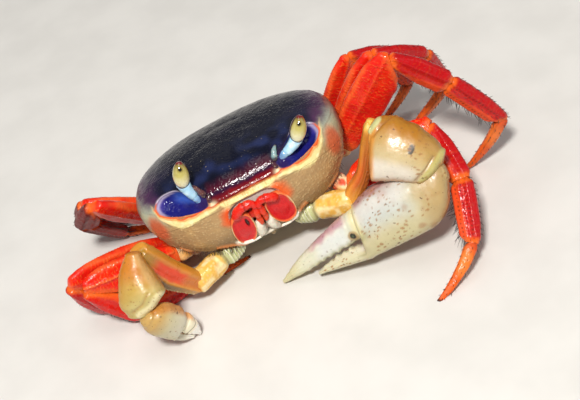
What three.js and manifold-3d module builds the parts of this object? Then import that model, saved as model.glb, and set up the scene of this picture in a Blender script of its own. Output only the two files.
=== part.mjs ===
// A harlequin land crab, life size, standing still with its left side raised and both
// claws brought to the ground in front of it.
//
// Units are millimetres, +Z is up, the floor is Z = 0. The crab faces -Y, so its own left
// side is +X. The shell is drawn level in a frame of its own (x across, y to the rear,
// z up from the shell's edge) and then set at the pitch, roll and height of the stance.
// Legs and claws are drawn one piece at a time, each along its own +X axis, with its
// broad side in its own Z and its thickness in its own Y.

import * as THREE from 'three';
import { mergeVertices } from 'three/addons/utils/BufferGeometryUtils.js';
import Module from 'manifold-3d';

const wasm = await Module();
wasm.setup();

const DEG = Math.PI / 180;
const vec = (x, y, z) => new THREE.Vector3(x, y, z);

// ---------------------------------------------------------------- driving sizes

const SHELL_WIDTH = 50;          // widest part of the shell, the size all else follows
const HALF_WIDTH = SHELL_WIDTH / 2;
const GAP = 0.3;                 // clear space between two pieces that meet
const SOCKET_GAP = 0.34;         // clear space round a limb in its socket

// Outline of the body: reaches from its centre, and how square each side is.
const BODY = {
  centreY: -4.1, centreZ: -1.0,
  front: 15.3, back: 21.4, top: 6.2, bottom: 18.2,
  frontPower: 2.75, backPower: 2.5, topPower: 2.6, bottomPower: 2.15,
  frontRound: 2.5, topRound: 2.2, bottomRound: 2.35,
  across: 20, around: 22,
};

// The shell's lower rim slopes down from the front edge to the rear.
const RIM = { frontZ: -3.4, rearZ: -9.0, frontY: -19.0, rearY: 17.0 };
const CHIN_REAR_Y = -8.6;        // where the mouth frame ends and the breastplate begins
const FLANK_EDGE = 28.4;         // |x| - z on the sloping flank above the leg roots

const STANCE = { pitch: 16 * DEG, roll: 8 * DEG, height: 22 };

const ORBIT = { x: 15.2, y: -18.6, z: -1.6, rx: 5.4, ry: 4.2, rz: 2.7, tilt: 12 * DEG };
const EYE = {
  rootX: 10.3, rootY: -17.4, rootZ: 0.75, stalk: 5.6, stalkThin: 0.95, stalkWide: 1.4, seat: 4.4,
  cornea: 3.0, corneaWide: 1.8, leanLeft: 70 * DEG, leanRight: 19 * DEG, bend: 37 * DEG,
};

const MOUTH = { y: -18.8, z: -10.6, rx: 9.0, ry: 4.6, rz: 6.2 };
const MAXILLIPED = { x: 4.3, y: -17.9, z: -10.5, rx: 2.9, ry: 1.15, rz: 4.4, splay: 5 * DEG, rake: 14 * DEG };

// The tail flap lies in a tapering groove of the breastplate, flush with it.
const ABDOMEN = { rearHalf: 5.4, rearY: 18, frontHalf: 1.5, frontY: -7, under: 0.94, groove: 0.92 };

// Colours of the pieces.
const COLOUR = {
  shell: 0x1d1a33, face: 0xb08c5e, breast: 0xd8cba6, leg: 0xd4231a, joint: 0xe2601f,
  claw: 0xcfc3a8, clawBase: 0xd99a3c, mouth: 0xd8301f, stalk: 0xa9c4d8, cornea: 0xb8ab62,
};

// ---------------------------------------------------------------- solids

/** A copy of a mesh with nothing but positions, its shared corners joined. */
function weld(geometry) {
  const bare = geometry.clone();
  bare.deleteAttribute('normal');
  bare.deleteAttribute('uv');
  return mergeVertices(bare, 1e-4);
}

/** Turns a closed triangle mesh into a solid that can be joined and cut. */
function solidOf(geometry) {
  const merged = weld(geometry);
  return new wasm.Manifold(new wasm.Mesh({
    numProp: 3,
    vertProperties: new Float32Array(merged.attributes.position.array),
    triVerts: new Uint32Array(merged.index.array),
  }));
}

/** Keeps the largest single body of a solid, in case a cut has freed a crumb. */
function mainBody(solid) {
  return solid.decompose().sort((a, b) => b.volume() - a.volume())[0];
}

/** Turns a solid back into a triangle mesh. */
function geometryOf(solid) {
  const mesh = solid.getMesh();
  const geometry = new THREE.BufferGeometry();
  geometry.setAttribute('position', new THREE.BufferAttribute(new Float32Array(mesh.vertProperties), 3));
  geometry.setIndex(new THREE.BufferAttribute(new Uint32Array(mesh.triVerts), 1));
  return geometry;
}

/** A very large block filling the side of a plane that its normal points to. */
function sideOf(normal, offset) {
  const SPAN = 400;
  const n = normal.clone().normalize();
  const block = weld(new THREE.BoxGeometry(SPAN, SPAN, SPAN));
  const turn = new THREE.Quaternion().setFromUnitVectors(vec(0, 0, 1), n);
  block.applyQuaternion(turn);
  block.translate(...n.multiplyScalar(offset + SPAN / 2).toArray());
  return solidOf(block);
}

/** An ellipsoid solid, turned about z and then about x before it is placed. */
function ellipsoid(centre, radii, turnZ = 0, turnX = 0, segments = 12) {
  const ball = new THREE.SphereGeometry(1, segments, Math.round(segments * 0.6));
  ball.rotateX(Math.PI / 2);
  ball.scale(...radii.toArray());
  ball.rotateX(turnX);
  ball.rotateY(turnZ);
  ball.translate(...centre.toArray());
  return solidOf(ball);
}

/**
 * A closed skin through a row of rings. Each ring is [x, z, halfWidth, halfThickness], set
 * square to the piece's length; grow makes the whole piece fatter all round.
 */
function loft(rings, { sides = 14, square = 2.3, grow = 0 } = {}) {
  const points = [];
  const last = rings.length - 1;
  rings.forEach(([x, z, halfWidth, halfThickness], i) => {
    const reach = i === 0 ? -grow : i === last ? grow : 0;
    for (let k = 0; k < sides; k += 1) {
      const a = (2 * Math.PI * k) / sides;
      const c = Math.cos(a);
      const s = Math.sin(a);
      const dz = Math.sign(c) * Math.abs(c) ** (2 / square) * (halfWidth + grow);
      const dy = Math.sign(s) * Math.abs(s) ** (2 / square) * (halfThickness + grow);
      points.push(x + reach, dy, z + dz);
    }
  });
  const faces = [];
  for (let i = 0; i < last; i += 1) {
    for (let k = 0; k < sides; k += 1) {
      const a = i * sides + k;
      const b = i * sides + ((k + 1) % sides);
      faces.push(a, a + sides, b, b, a + sides, b + sides);
    }
  }
  for (const [ring, first] of [[0, true], [last, false]]) {
    const centre = points.length / 3;
    const reach = first ? -grow : grow;
    points.push(rings[ring][0] + reach, 0, rings[ring][1]);
    for (let k = 0; k < sides; k += 1) {
      const a = ring * sides + k;
      const b = ring * sides + ((k + 1) % sides);
      faces.push(...(first ? [centre, a, b] : [centre, b, a]));
    }
  }
  const geometry = new THREE.BufferGeometry();
  geometry.setAttribute('position', new THREE.Float32BufferAttribute(points, 3));
  geometry.setIndex(faces);
  return geometry;
}

/** Matrix that sets a piece's own +X along a direction, with its +Z towards its broad side. */
function frameAt(origin, along, broad) {
  const x = along.clone().normalize();
  const z = broad.clone().addScaledVector(x, -broad.dot(x)).normalize();
  const y = new THREE.Vector3().crossVectors(z, x);
  return new THREE.Matrix4().makeBasis(x, y, z).setPosition(origin);
}

/** Makes a named mesh in its own material. */
function piece(name, geometry, colour, roughness = 0.45) {
  const material = new THREE.MeshStandardMaterial({ color: colour, roughness, metalness: 0 });
  const mesh = new THREE.Mesh(geometry, material);
  mesh.name = name;
  return mesh;
}

/** Places a mesh by a matrix. */
function place(mesh, matrix) {
  matrix.decompose(mesh.position, mesh.quaternion, mesh.scale);
  return mesh;
}

const FLOOR = sideOf(vec(0, 0, 1), 0);

// ---------------------------------------------------------------- stance

const body = new THREE.Group();
body.position.z = STANCE.height;
body.rotation.set(-STANCE.pitch, -STANCE.roll, 0, 'YXZ');
body.updateMatrixWorld(true);
const intoShell = body.matrixWorld.clone().invert();

// ---------------------------------------------------------------- limb pieces

// Each profile is [part of the length, rise, half width, half thickness], the last three
// as parts of the piece's own largest half width and half thickness.
const PROFILE = {
  base: [[0, 0, 0.86, 0.92], [0.35, 0, 1.0, 1.0], [0.7, 0, 0.86, 0.9], [1, 0, 0.96, 0.92]],
  merus: [[0, 0, 0.52, 0.84], [0.1, 0.02, 0.66, 0.92], [0.3, 0.07, 0.9, 1.0], [0.55, 0.09, 1.0, 1.0],
    [0.8, 0.07, 0.96, 0.95], [0.93, 0.04, 0.84, 0.88], [1, 0.0, 0.7, 0.78]],
  carpus: [[0, 0.04, 0.6, 0.78], [0.2, 0.14, 0.74, 0.95], [0.55, 0.08, 0.98, 1.0], [0.85, 0.03, 1.0, 0.96], [1, 0, 0.86, 0.84]],
  propodus: [[0, 0, 0.9, 0.86], [0.2, 0.02, 1.0, 1.0], [0.6, 0.02, 0.98, 0.98], [0.9, 0, 0.82, 0.86], [1, 0, 0.66, 0.72]],
  dactyl: [[0, 0, 0.95, 0.9], [0.14, 0.22, 1.0, 1.0], [0.42, 0.5, 0.84, 0.84], [0.72, 0.42, 0.6, 0.62], [1, 0, 0.34, 0.42]],
};
const SEGMENTS = ['base', 'merus', 'carpus', 'propodus', 'dactyl'];

/**
 * Rings of one limb piece from its profile. Where it meets a joint it has a rounded end that
 * runs past the joint; start and end say how far, in half widths, and 0 leaves the end plain.
 */
function ringsOf(profile, length, half, thick, start, end) {
  const rings = profile.map(([t, rise, wide, deep]) => [t * length, rise * half, wide * half, deep * thick]);
  const cap = ([x, z, wide, deep], reach) => [
    [x + wide * reach * 0.6, z, wide * 0.86, deep * 0.92],
    [x + wide * reach, z, wide * 0.5, deep * 0.7],
  ];
  if (start > 0) rings.unshift(...cap(rings[0], -start).reverse());
  if (end > 0) rings.push(...cap(rings[rings.length - 1], end));
  return rings;
}

// Sizes of the four walking legs: length, half width and half thickness of each piece.
const LEG_SIZE = {
  2: { base: [6.5, 2.4, 2.0], merus: [22.0, 4.2, 1.6], carpus: [14.0, 2.7, 1.6], propodus: [14.2, 2.6, 1.5], dactyl: [14.4, 1.45, 1.1] },
  3: { base: [7.5, 2.5, 2.0], merus: [26.0, 4.8, 1.65], carpus: [14.5, 2.9, 1.75], propodus: [17.0, 2.6, 1.5], dactyl: [17.0, 1.5, 1.1] },
  4: { base: [7.5, 2.4, 1.9], merus: [25.5, 4.4, 1.7], carpus: [14.5, 2.8, 1.7], propodus: [16.5, 2.7, 1.5], dactyl: [16.5, 1.45, 1.1] },
  5: { base: [7.0, 2.2, 1.8], merus: [21.5, 3.8, 1.6], carpus: [12.0, 2.5, 1.6], propodus: [14.0, 2.4, 1.4], dactyl: [14.5, 1.35, 1.0] },
};

// Where each leg leaves the breastplate, in the shell's frame (x is mirrored on the right).
const LEG_ROOT = { 2: vec(15.4, -8.4, -12.8), 3: vec(16.2, 0.4, -12.6), 4: vec(16.0, 6.4, -12.6), 5: vec(14.4, 11.8, -13.0) };

// Pose of each leg, in degrees: heading from straight out to the side (minus is forward),
// lean of the leg's plane (minus is forward), then the climb of each piece above level.
// The last piece drops from its joint to the floor.
const LEG_POSE = {
  left: {
    2: { heading: -32, lean: 57, base: -12, merus: 36, carpus: -56, propodus: -76 },
    3: { heading: -14, lean: 0, base: 22, merus: 55, carpus: -42, propodus: -53 },
    4: { heading: 7, lean: -16, base: 10, merus: 65, carpus: -36, propodus: -71 },
    5: { heading: 14, lean: -12, base: 9, merus: 66, carpus: -32, propodus: -70 },
  },
  right: {
    2: { heading: -16, lean: 15, base: 3, merus: 10, carpus: -126, propodus: -178 },
    3: { heading: -21, lean: -8, base: -6, merus: 17, carpus: -116, propodus: -180 },
    4: { heading: 14, lean: -34, base: 2, merus: 68, carpus: -66, propodus: -106 },
    5: { heading: 15, lean: -30, base: 5, merus: 38, carpus: -75, propodus: -160 },
  },
};
const TIP_SINK = 0.3;            // how far a leg's tip is cut back to its flat
const LEG_SIDES = { base: 8, merus: 8, carpus: 8, propodus: 8, dactyl: 6 };
const ELBOW_ROUND = 0.75;        // how far a rounded end runs past an unbent joint, in half widths

/** The joints of one leg, the climb of each piece, and the directions its plane spans. */
function legJoints(number, side) {
  const mirror = side === 'left' ? 1 : -1;
  const size = LEG_SIZE[number];
  const pose = LEG_POSE[side][number];
  const heading = pose.heading * DEG;
  const lean = pose.lean * DEG;
  const out = vec(mirror * Math.cos(heading), Math.sin(heading), 0);
  const across = vec(-mirror * Math.sin(heading), Math.cos(heading), 0);
  const rise = vec(0, 0, Math.cos(lean)).addScaledVector(across, Math.sin(lean));
  const root = LEG_ROOT[number].clone();
  root.x *= mirror;
  const joints = [root.applyMatrix4(body.matrixWorld)];
  const climbs = [pose.base, pose.merus, pose.carpus, pose.propodus].map((a) => a * DEG);
  SEGMENTS.forEach((segment, i) => {
    const from = joints[i];
    const length = size[segment][0];
    if (segment === 'dactyl') {
      climbs.push(-Math.PI + Math.asin((from.z + TIP_SINK) / (length * rise.z)));
    }
    const along = out.clone().multiplyScalar(Math.cos(climbs[i])).addScaledVector(rise, Math.sin(climbs[i]));
    joints.push(from.clone().addScaledVector(along, length));
  });
  return { joints, climbs, out, rise, size };
}

/** The plane that halves the angle between two pieces, as its normal and its offset. */
function jointPlane(joint, alongBefore, alongAfter) {
  const normal = alongBefore.clone().normalize().add(alongAfter.clone().normalize()).normalize();
  return { normal, offset: normal.dot(joint) };
}

/** Cuts a solid at a joint plane; keepAfter says which side of it the solid lies on. */
function cutAtJoint(solid, { normal, offset }, keepAfter) {
  return keepAfter
    ? solid.intersect(sideOf(normal, offset + GAP / 2))
    : solid.intersect(sideOf(normal.clone().negate(), -(offset - GAP / 2)));
}

const parts = [];
const sockets = [];              // limb roots, grown, that are cut out of the body

for (const side of ['left', 'right']) {
  for (const number of [2, 3, 4, 5]) {
    const { joints, climbs, out, rise, size } = legJoints(number, side);
    const alongs = climbs.map((a) => out.clone().multiplyScalar(Math.cos(a)).addScaledVector(rise, Math.sin(a)));
    const planes = alongs.slice(1).map((along, i) => jointPlane(joints[i + 1], alongs[i], along));
    const bends = alongs.slice(1).map((along, i) => along.angleTo(alongs[i]));
    const rounds = [0, ...bends.map((bend) => ELBOW_ROUND * Math.max(0.3, Math.cos(bend / 2))), 0];
    SEGMENTS.forEach((segment, i) => {
      const [length, half, thick] = size[segment];
      const broad = rise.clone().multiplyScalar(Math.cos(climbs[i])).addScaledVector(out, -Math.sin(climbs[i]));
      const matrix = frameAt(joints[i], alongs[i], broad);
      const isFirst = i === 0;
      const isLast = i === SEGMENTS.length - 1;
      const rings = ringsOf(PROFILE[segment], length, half, thick, rounds[i], rounds[i + 1]);
      const shape = { sides: LEG_SIDES[segment], square: 2.4 };
      let solid = solidOf(loft(rings, shape).applyMatrix4(matrix));
      if (!isFirst) solid = cutAtJoint(solid, planes[i - 1], true);
      if (!isLast) solid = cutAtJoint(solid, planes[i], false);
      solid = solid.intersect(FLOOR);
      if (segment === 'base' || segment === 'merus') {
        sockets.push(solidOf(loft(rings, { ...shape, grow: SOCKET_GAP }).applyMatrix4(matrix)));
      }
      const colour = isFirst || isLast ? COLOUR.joint : COLOUR.leg;
      const geometry = geometryOf(solid).applyMatrix4(matrix.clone().invert());
      parts.push(place(piece(`leg${number}_${side}_${segment}`, geometry, colour), matrix));
    });
  }
}

// ---------------------------------------------------------------- claws

// Joint places of each claw-bearing limb, its outward face, and the rings of each piece as
// [x, z, half width, half thickness] in millimetres, z being towards the back of the hand.
const CLAWS = {
  left: {
    outward: vec(0.02, -0.80, 0.60),
    root: vec(9.0, -14.8, 10.4), knee: vec(20.4, -20.9, 13.2), elbow: vec(28.8, -18.8, 28.6),
    base: [[0, 0, 2.6, 2.5], [3.0, 0, 3.0, 2.8], [5.2, 0, 2.7, 2.6], [8.6, 0, 3.0, 2.7], [13.0, 0, 2.6, 2.4]],
    merus: [[-0.6, -0.1, 1.9, 2.2], [2.0, -0.3, 2.1, 2.7], [8, -1.0, 1.5, 3.0], [14, -0.6, 1.8, 3.0], [18.0, -0.4, 1.9, 2.7], [19.6, -0.1, 1.3, 1.9]],
    carpusFrom: vec(27.4, -21.8, 27.0), carpusTo: vec(41.6, -29.4, 22.2),
    carpus: [[0, 3.0, 2.4, 2.4], [0.8, 1.15, 5.15, 3.6], [1.9, -0.1, 7.1, 4.3], [4.6, 0.35, 7.15, 4.9], [7, 0.2, 6.6, 5.0],
      [9.5, 0.05, 6.35, 4.9], [12, -0.5, 5.5, 4.5], [14, -0.3, 4.1, 3.7], [15.6, 0.3, 1.9, 2.4]],
    handFrom: vec(39.6, -33.0, 15.5), handTo: vec(-0.3, -23.9, 0.8), handBend: 5.7 * DEG,
    hand: [[-1.2, 5.1, 1.9, 1.7], [-0.6, 4.7, 3.0, 2.5], [0.3, 3.6, 4.3, 3.1], [1.2, 2.85, 5.05, 3.5], [3.7, 1.8, 6.2, 4.0],
      [6.1, 1.4, 6.7, 4.3], [11.8, 1.25, 7.15, 4.5], [16, 0.8, 7.0, 4.3], [19, 0.1, 6.6, 4.0], [20.8, -0.65, 6.05, 3.7],
      [21.7, -4.85, 1.95, 2.5], [25.1, -4.8, 1.8, 2.2], [28, -4.95, 1.4, 1.9], [31, -5.25, 0.95, 1.4], [34.0, -5.7, 0.45, 0.7]],
    finger: [[21.6, 1.65, 3.45, 3.0], [23.4, 1.28, 3.38, 2.9], [27.1, 0.45, 2.95, 2.6], [31, -0.65, 2.5, 2.2], [35.2, -2.0, 2.1, 1.8],
      [38.5, -3.1, 1.5, 1.4], [41.2, -4.1, 0.8, 0.9], [42.6, -4.6, 0.45, 0.5]],
  },
  right: {
    outward: vec(-0.30, -0.78, 0.55),
    root: vec(-6.6, -14.8, 8.0), knee: vec(-18.3, -20.4, 6.2), elbow: vec(-26.6, -23.2, 23.4),
    base: [[0, 0, 2.3, 2.2], [2.8, 0, 2.7, 2.5], [4.8, 0, 2.4, 2.3], [8.4, 0, 2.9, 2.6], [12.8, 0, 2.6, 2.4]],
    merus: [[0, 0, 2.4, 2.1], [2.5, -0.3, 2.9, 2.4], [9, -1.2, 3.5, 2.7], [16, -0.9, 3.4, 2.8], [19.4, -0.2, 2.6, 2.4]],
    carpusFrom: vec(-27.4, -25.0, 25.0), carpusTo: vec(-30.2, -31.8, 15.0),
    carpus: [[0, 0.6, 1.6, 1.8], [2.2, 0.75, 2.75, 2.7], [4.0, 0.47, 3.65, 3.4], [6.2, 0.15, 4.35, 4.0], [8.35, -0.1, 5.0, 4.2],
      [10.5, 0.7, 4.2, 3.8], [12.7, 1.1, 2.5, 2.4]],
    handFrom: vec(-30.0, -33.4, 14.4), handTo: vec(-21.9, -29.6, 0.6), handBend: 5 * DEG,
    hand: [[0, 0, 1.9, 1.8], [1.2, 0.2, 3.0, 2.5], [4, 0.4, 3.9, 2.9], [7.2, 0.2, 3.9, 2.8],
      [8.6, -0.2, 3.5, 2.5], [9.2, -2.5, 1.25, 1.7], [12, -2.6, 1.0, 1.3], [15.2, -2.1, 0.5, 0.6]],
    finger: [[9.3, 0.9, 2.2, 1.8], [10.0, 0.9, 2.3, 1.8], [12.5, 0.5, 1.8, 1.5], [14.8, -0.2, 1.1, 1.0], [16.4, -0.9, 0.5, 0.55]],
  },
};

/** A piece of a claw limb from its rings, as a placed solid; grow makes it fatter all round. */
function clawSolid(rings, matrix, grow = 0) {
  return solidOf(loft(rings, { sides: 10, square: 2.4, grow }).applyMatrix4(matrix));
}

for (const [side, claw] of Object.entries(CLAWS)) {
  const reach = claw.handTo.clone().sub(claw.handFrom);
  const turn = new THREE.Quaternion().setFromAxisAngle(
    claw.outward.clone().addScaledVector(reach, -claw.outward.dot(reach) / reach.lengthSq()).normalize(),
    side === 'left' ? -claw.handBend : claw.handBend,
  );
  const handAlong = reach.clone().applyQuaternion(turn);
  const backOf = (along) => {
    const back = new THREE.Vector3().crossVectors(along, claw.outward).normalize();
    return back.z < 0 ? back.negate() : back;
  };
  const frames = {
    base: frameAt(claw.root, claw.knee.clone().sub(claw.root), vec(0, 0, 1)),
    merus: frameAt(claw.knee, claw.elbow.clone().sub(claw.knee), backOf(claw.elbow.clone().sub(claw.knee))),
    carpus: frameAt(claw.carpusFrom, claw.carpusTo.clone().sub(claw.carpusFrom), backOf(claw.carpusTo.clone().sub(claw.carpusFrom))),
    hand: frameAt(claw.handFrom, handAlong, backOf(handAlong)),
    finger: frameAt(claw.handFrom, handAlong, backOf(handAlong)),
  };
  const whole = (name, grow = 0) => clawSolid(claw[name], frames[name], grow);
  const solids = {
    hand: whole('hand').intersect(FLOOR),
    finger: whole('finger').subtract(whole('hand', GAP)).intersect(FLOOR),
    carpus: whole('carpus').subtract(whole('hand', GAP)).intersect(FLOOR),
    merus: whole('merus').subtract(whole('carpus', GAP)).subtract(whole('hand', GAP)),
    base: whole('base').subtract(whole('merus', GAP)),
  };
  sockets.push(whole('base', SOCKET_GAP), whole('merus', SOCKET_GAP));
  for (const [name, solid] of Object.entries(solids)) {
    const inverse = frames[name].clone().invert();
    const colour = name === 'base' || name === 'merus' ? COLOUR.clawBase : COLOUR.claw;
    parts.push(place(piece(`claw_${side}_${name}`, geometryOf(mainBody(solid)).applyMatrix4(inverse), colour), frames[name]));
  }
}

// ---------------------------------------------------------------- body

/** Signed power, for squared-off rounds. */
const softPower = (value, power) => Math.sign(value) * Math.abs(value) ** power;

/** The whole body's outer skin, closed, in the shell's frame. */
function bodySkin() {
  const { across, around } = BODY;
  const points = [-HALF_WIDTH, BODY.centreY, BODY.centreZ];
  for (let i = 1; i < across; i += 1) {
    const x = Math.sin(-Math.PI / 2 + (Math.PI * i) / across);
    const shrink = (power) => (1 - Math.abs(x) ** power) ** (1 / power);
    for (let k = 0; k < around; k += 1) {
      const a = (2 * Math.PI * k) / around;
      const c = Math.cos(a);
      const s = Math.sin(a);
      const y = c > 0
        ? -BODY.front * shrink(BODY.frontPower) * softPower(c, 2 / BODY.frontRound)
        : BODY.back * shrink(BODY.backPower) * softPower(-c, 2 / BODY.topRound);
      const z = s > 0
        ? BODY.top * shrink(BODY.topPower) * softPower(s, 2 / BODY.topRound)
        : -BODY.bottom * shrink(BODY.bottomPower) * softPower(-s, 2 / BODY.bottomRound);
      points.push(HALF_WIDTH * x, BODY.centreY + y, BODY.centreZ + z);
    }
  }
  points.push(HALF_WIDTH, BODY.centreY, BODY.centreZ);
  const last = points.length / 3 - 1;
  const faces = [];
  for (let k = 0; k < around; k += 1) {
    const next = (k + 1) % around;
    faces.push(0, 1 + k, 1 + next);
    for (let i = 0; i < across - 2; i += 1) {
      const a = 1 + i * around + k;
      const b = 1 + i * around + next;
      faces.push(a, a + around, b, b, a + around, b + around);
    }
    const row = 1 + (across - 2) * around;
    faces.push(last, row + next, row + k);
  }
  const geometry = new THREE.BufferGeometry();
  geometry.setAttribute('position', new THREE.Float32BufferAttribute(points, 3));
  geometry.setIndex(faces);
  return geometry;
}

const skin = solidOf(bodySkin());
const rimSlope = (RIM.rearZ - RIM.frontZ) / (RIM.rearY - RIM.frontY);
const rimNormal = vec(0, -rimSlope, 1).normalize();
const rimOffset = rimNormal.dot(vec(0, RIM.frontY, RIM.frontZ));
const aboveRim = sideOf(rimNormal, rimOffset + GAP / 2);
const belowRim = sideOf(rimNormal.clone().negate(), -(rimOffset - GAP / 2));
const flankCuts = [1, -1].map((mirror) => sideOf(vec(mirror, 0, -1), FLANK_EDGE / Math.SQRT2));
const roots = sockets.map((socket) => geometryOf(socket).applyMatrix4(intoShell)).map(solidOf);

/** Cuts every limb socket out of a body solid. */
const withSockets = (solid) => roots.reduce((left, root) => left.subtract(root), solid);

const eyes = [['left', 1, EYE.leanLeft], ['right', -1, EYE.leanRight]];
const orbits = eyes.map(([, mirror]) => ellipsoid(
  vec(mirror * ORBIT.x, ORBIT.y, ORBIT.z), vec(ORBIT.rx, ORBIT.ry, ORBIT.rz), mirror * -ORBIT.tilt,
));
const stalkFrames = eyes.map(([, mirror, lean]) => frameAt(
  vec(mirror * EYE.rootX, EYE.rootY, EYE.rootZ),
  vec(mirror * Math.sin(lean), -0.04, Math.cos(lean)),
  vec(0, -1, 0),
));
const STALK_RINGS = [[0, 0, EYE.stalkThin, EYE.stalkThin], [2.2, 0, EYE.stalkThin, EYE.stalkThin],
  [3.8, 0, EYE.stalkWide, EYE.stalkWide], [EYE.stalk, 0, EYE.stalkWide, EYE.stalkWide]];
const stalkHoles = stalkFrames.map((frame) => clawSolid(STALK_RINGS, frame, GAP));

// The eyeball bends up from the end of its stalk and sits in a cup there.
const ballFrames = eyes.map(([, mirror, lean]) => {
  const along = vec(mirror * Math.sin(lean), -0.04, Math.cos(lean)).normalize();
  const up = vec(mirror * Math.sin(lean - EYE.bend), -0.04, Math.cos(lean - EYE.bend)).normalize();
  const root = vec(mirror * EYE.rootX, EYE.rootY, EYE.rootZ);
  return frameAt(root.addScaledVector(along, EYE.seat).addScaledVector(up, EYE.cornea), up, vec(0, -1, 0));
});

/** An eyeball in a frame, grown all round by a margin. */
function eyeball(frame, margin) {
  const cornea = new THREE.SphereGeometry(1, 12, 8);
  cornea.rotateZ(-Math.PI / 2);
  cornea.scale(EYE.cornea + margin, EYE.corneaWide + margin, EYE.corneaWide + margin);
  return solidOf(cornea.applyMatrix4(frame));
}
const ballHoles = ballFrames.map((frame) => eyeball(frame, GAP));

const rearOfChin = sideOf(vec(0, 1, 0), CHIN_REAR_Y + GAP / 2);
const frontOfChin = sideOf(vec(0, -1, 0), -(CHIN_REAR_Y - GAP / 2));
const mouthPocket = ellipsoid(vec(0, MOUTH.y, MOUTH.z), vec(MOUTH.rx, MOUTH.ry, MOUTH.rz), 0, 0, 14);

const shell = [...orbits, ...stalkHoles, ...ballHoles].reduce((left, cut) => left.subtract(cut), skin.intersect(aboveRim));
const lower = [...orbits, mouthPocket].reduce((left, cut) => left.subtract(cut), skin.intersect(belowRim));
const face = withSockets(lower.intersect(frontOfChin));

/** The tapering wedge that bounds the tail flap, wider all round by grow. */
function flapWedge(grow) {
  const { rearHalf, rearY, frontHalf, frontY } = ABDOMEN;
  const corners = [[rearHalf, rearY + grow], [frontHalf, frontY - grow]]
    .flatMap(([half, y]) => [[-half - grow, y], [half + grow, y]])
    .flatMap(([x, y]) => [[x, y, -30], [x, y, RIM.rearZ + 2]]);
  return wasm.Manifold.hull(corners);
}

/** The body's skin drawn in towards its middle. */
function shrunkSkin(scale) {
  return skin.translate([0, -BODY.centreY, -BODY.centreZ]).scale(scale).translate([0, BODY.centreY, BODY.centreZ]);
}

const flap = lower.intersect(rearOfChin).intersect(flapWedge(0)).subtract(shrunkSkin(ABDOMEN.under));
const groove = flapWedge(GAP).subtract(shrunkSkin(ABDOMEN.groove));
const breast = flankCuts.reduce((left, cut) => left.subtract(cut), withSockets(lower.intersect(rearOfChin).subtract(groove)));

body.add(piece('carapace', geometryOf(mainBody(withSockets(shell))), COLOUR.shell, 0.25));
body.add(piece('face', geometryOf(mainBody(face)), COLOUR.face));
body.add(piece('breastplate', geometryOf(mainBody(breast)), COLOUR.breast));
body.add(piece('abdomen', geometryOf(mainBody(flap)), COLOUR.breast));

// Eyes on their stalks.
eyes.forEach(([side], i) => {
  const stalk = clawSolid(STALK_RINGS, stalkFrames[i], 0).subtract(ballHoles[i]);
  body.add(piece(`eyestalk_${side}`, geometryOf(mainBody(stalk)), COLOUR.stalk, 0.2));
  body.add(piece(`eye_${side}`, geometryOf(eyeball(ballFrames[i], 0)), COLOUR.cornea, 0.1));
});

// The two outer mouthparts.
for (const [side, mirror] of [['left', 1], ['right', -1]]) {
  const plate = ellipsoid(
    vec(mirror * MAXILLIPED.x, MAXILLIPED.y, MAXILLIPED.z),
    vec(MAXILLIPED.rx, MAXILLIPED.ry, MAXILLIPED.rz),
    mirror * -MAXILLIPED.splay, -MAXILLIPED.rake, 12,
  );
  body.add(piece(`maxilliped_${side}`, geometryOf(plate), COLOUR.mouth));
}

// ---------------------------------------------------------------- whole crab

const crab = new THREE.Group();
crab.add(body, ...parts);

// The origin is on the floor, under the middle of the crab.
const middle = new THREE.Box3().setFromObject(crab, true).getCenter(new THREE.Vector3());
crab.position.set(-middle.x, -middle.y, 0);

export default crab;
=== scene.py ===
"""A harlequin land crab, life size, standing still with its left side raised.

Every piece of the crab is drawn in millimetres, in the part's own frame before its origin
was moved under its middle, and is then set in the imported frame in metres. The shell has a
level frame of its own: x across, with the crab's left at +x, y to the rear and z up from
the shell's edge. A limb piece has x along it, z to its broad side and y through it.
"""

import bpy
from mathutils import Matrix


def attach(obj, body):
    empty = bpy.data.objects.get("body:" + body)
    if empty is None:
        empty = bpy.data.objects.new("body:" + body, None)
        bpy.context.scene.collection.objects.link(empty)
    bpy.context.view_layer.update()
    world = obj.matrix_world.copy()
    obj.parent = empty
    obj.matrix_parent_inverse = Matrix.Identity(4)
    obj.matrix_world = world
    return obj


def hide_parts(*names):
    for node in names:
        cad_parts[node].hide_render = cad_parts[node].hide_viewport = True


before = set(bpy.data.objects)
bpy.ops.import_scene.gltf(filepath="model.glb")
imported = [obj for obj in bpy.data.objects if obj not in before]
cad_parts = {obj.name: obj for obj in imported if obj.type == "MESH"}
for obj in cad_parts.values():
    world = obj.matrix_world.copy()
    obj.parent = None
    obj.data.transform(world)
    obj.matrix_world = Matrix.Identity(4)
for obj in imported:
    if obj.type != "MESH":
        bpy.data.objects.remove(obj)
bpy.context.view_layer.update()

import logging
import math
from collections.abc import Sequence
from dataclasses import dataclass, field
from enum import Enum

import bmesh
import bpy
import numpy as np
from mathutils import Matrix, Vector

Array = np.ndarray
Pair = tuple[float, float]
Triple = tuple[float, float, float]
Ring = tuple[float, float, float, float]
Pose = tuple[float, float, float, float, float, float]
Piece = bpy.types.Object
Material = bpy.types.Material
Tree = bpy.types.NodeTree
Link = bpy.types.NodeSocket
LOG = logging.getLogger("crab")
MM = 0.001
FRAME_SHIFT = np.array([-7.5338554, 15.02077186, 0.0])
DEG = math.pi / 180
TURN = 2 * math.pi
FAR = 9.0
FINE_STEPS = 6000


class Side(Enum):
    """The crab's own two sides, with the sign that x takes there."""

    LEFT = 1
    RIGHT = -1

    @property
    def word(self) -> str:
        """The side's name as the nodes spell it."""
        return self.name.lower()

    @property
    def mirror(self) -> Array:
        """What turns a point of the left side into this side's own."""
        return np.array([self.value, 1, 1])


# ------------------------------------------------------------------ numbers and curves


def smooth(low: float | Array, high: float | Array, value: Array) -> Array:
    """A soft step from 0 at low to 1 at high."""
    part = np.clip((value - low) / (high - low), 0.0, 1.0)
    return part * part * (3 - 2 * part)


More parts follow.
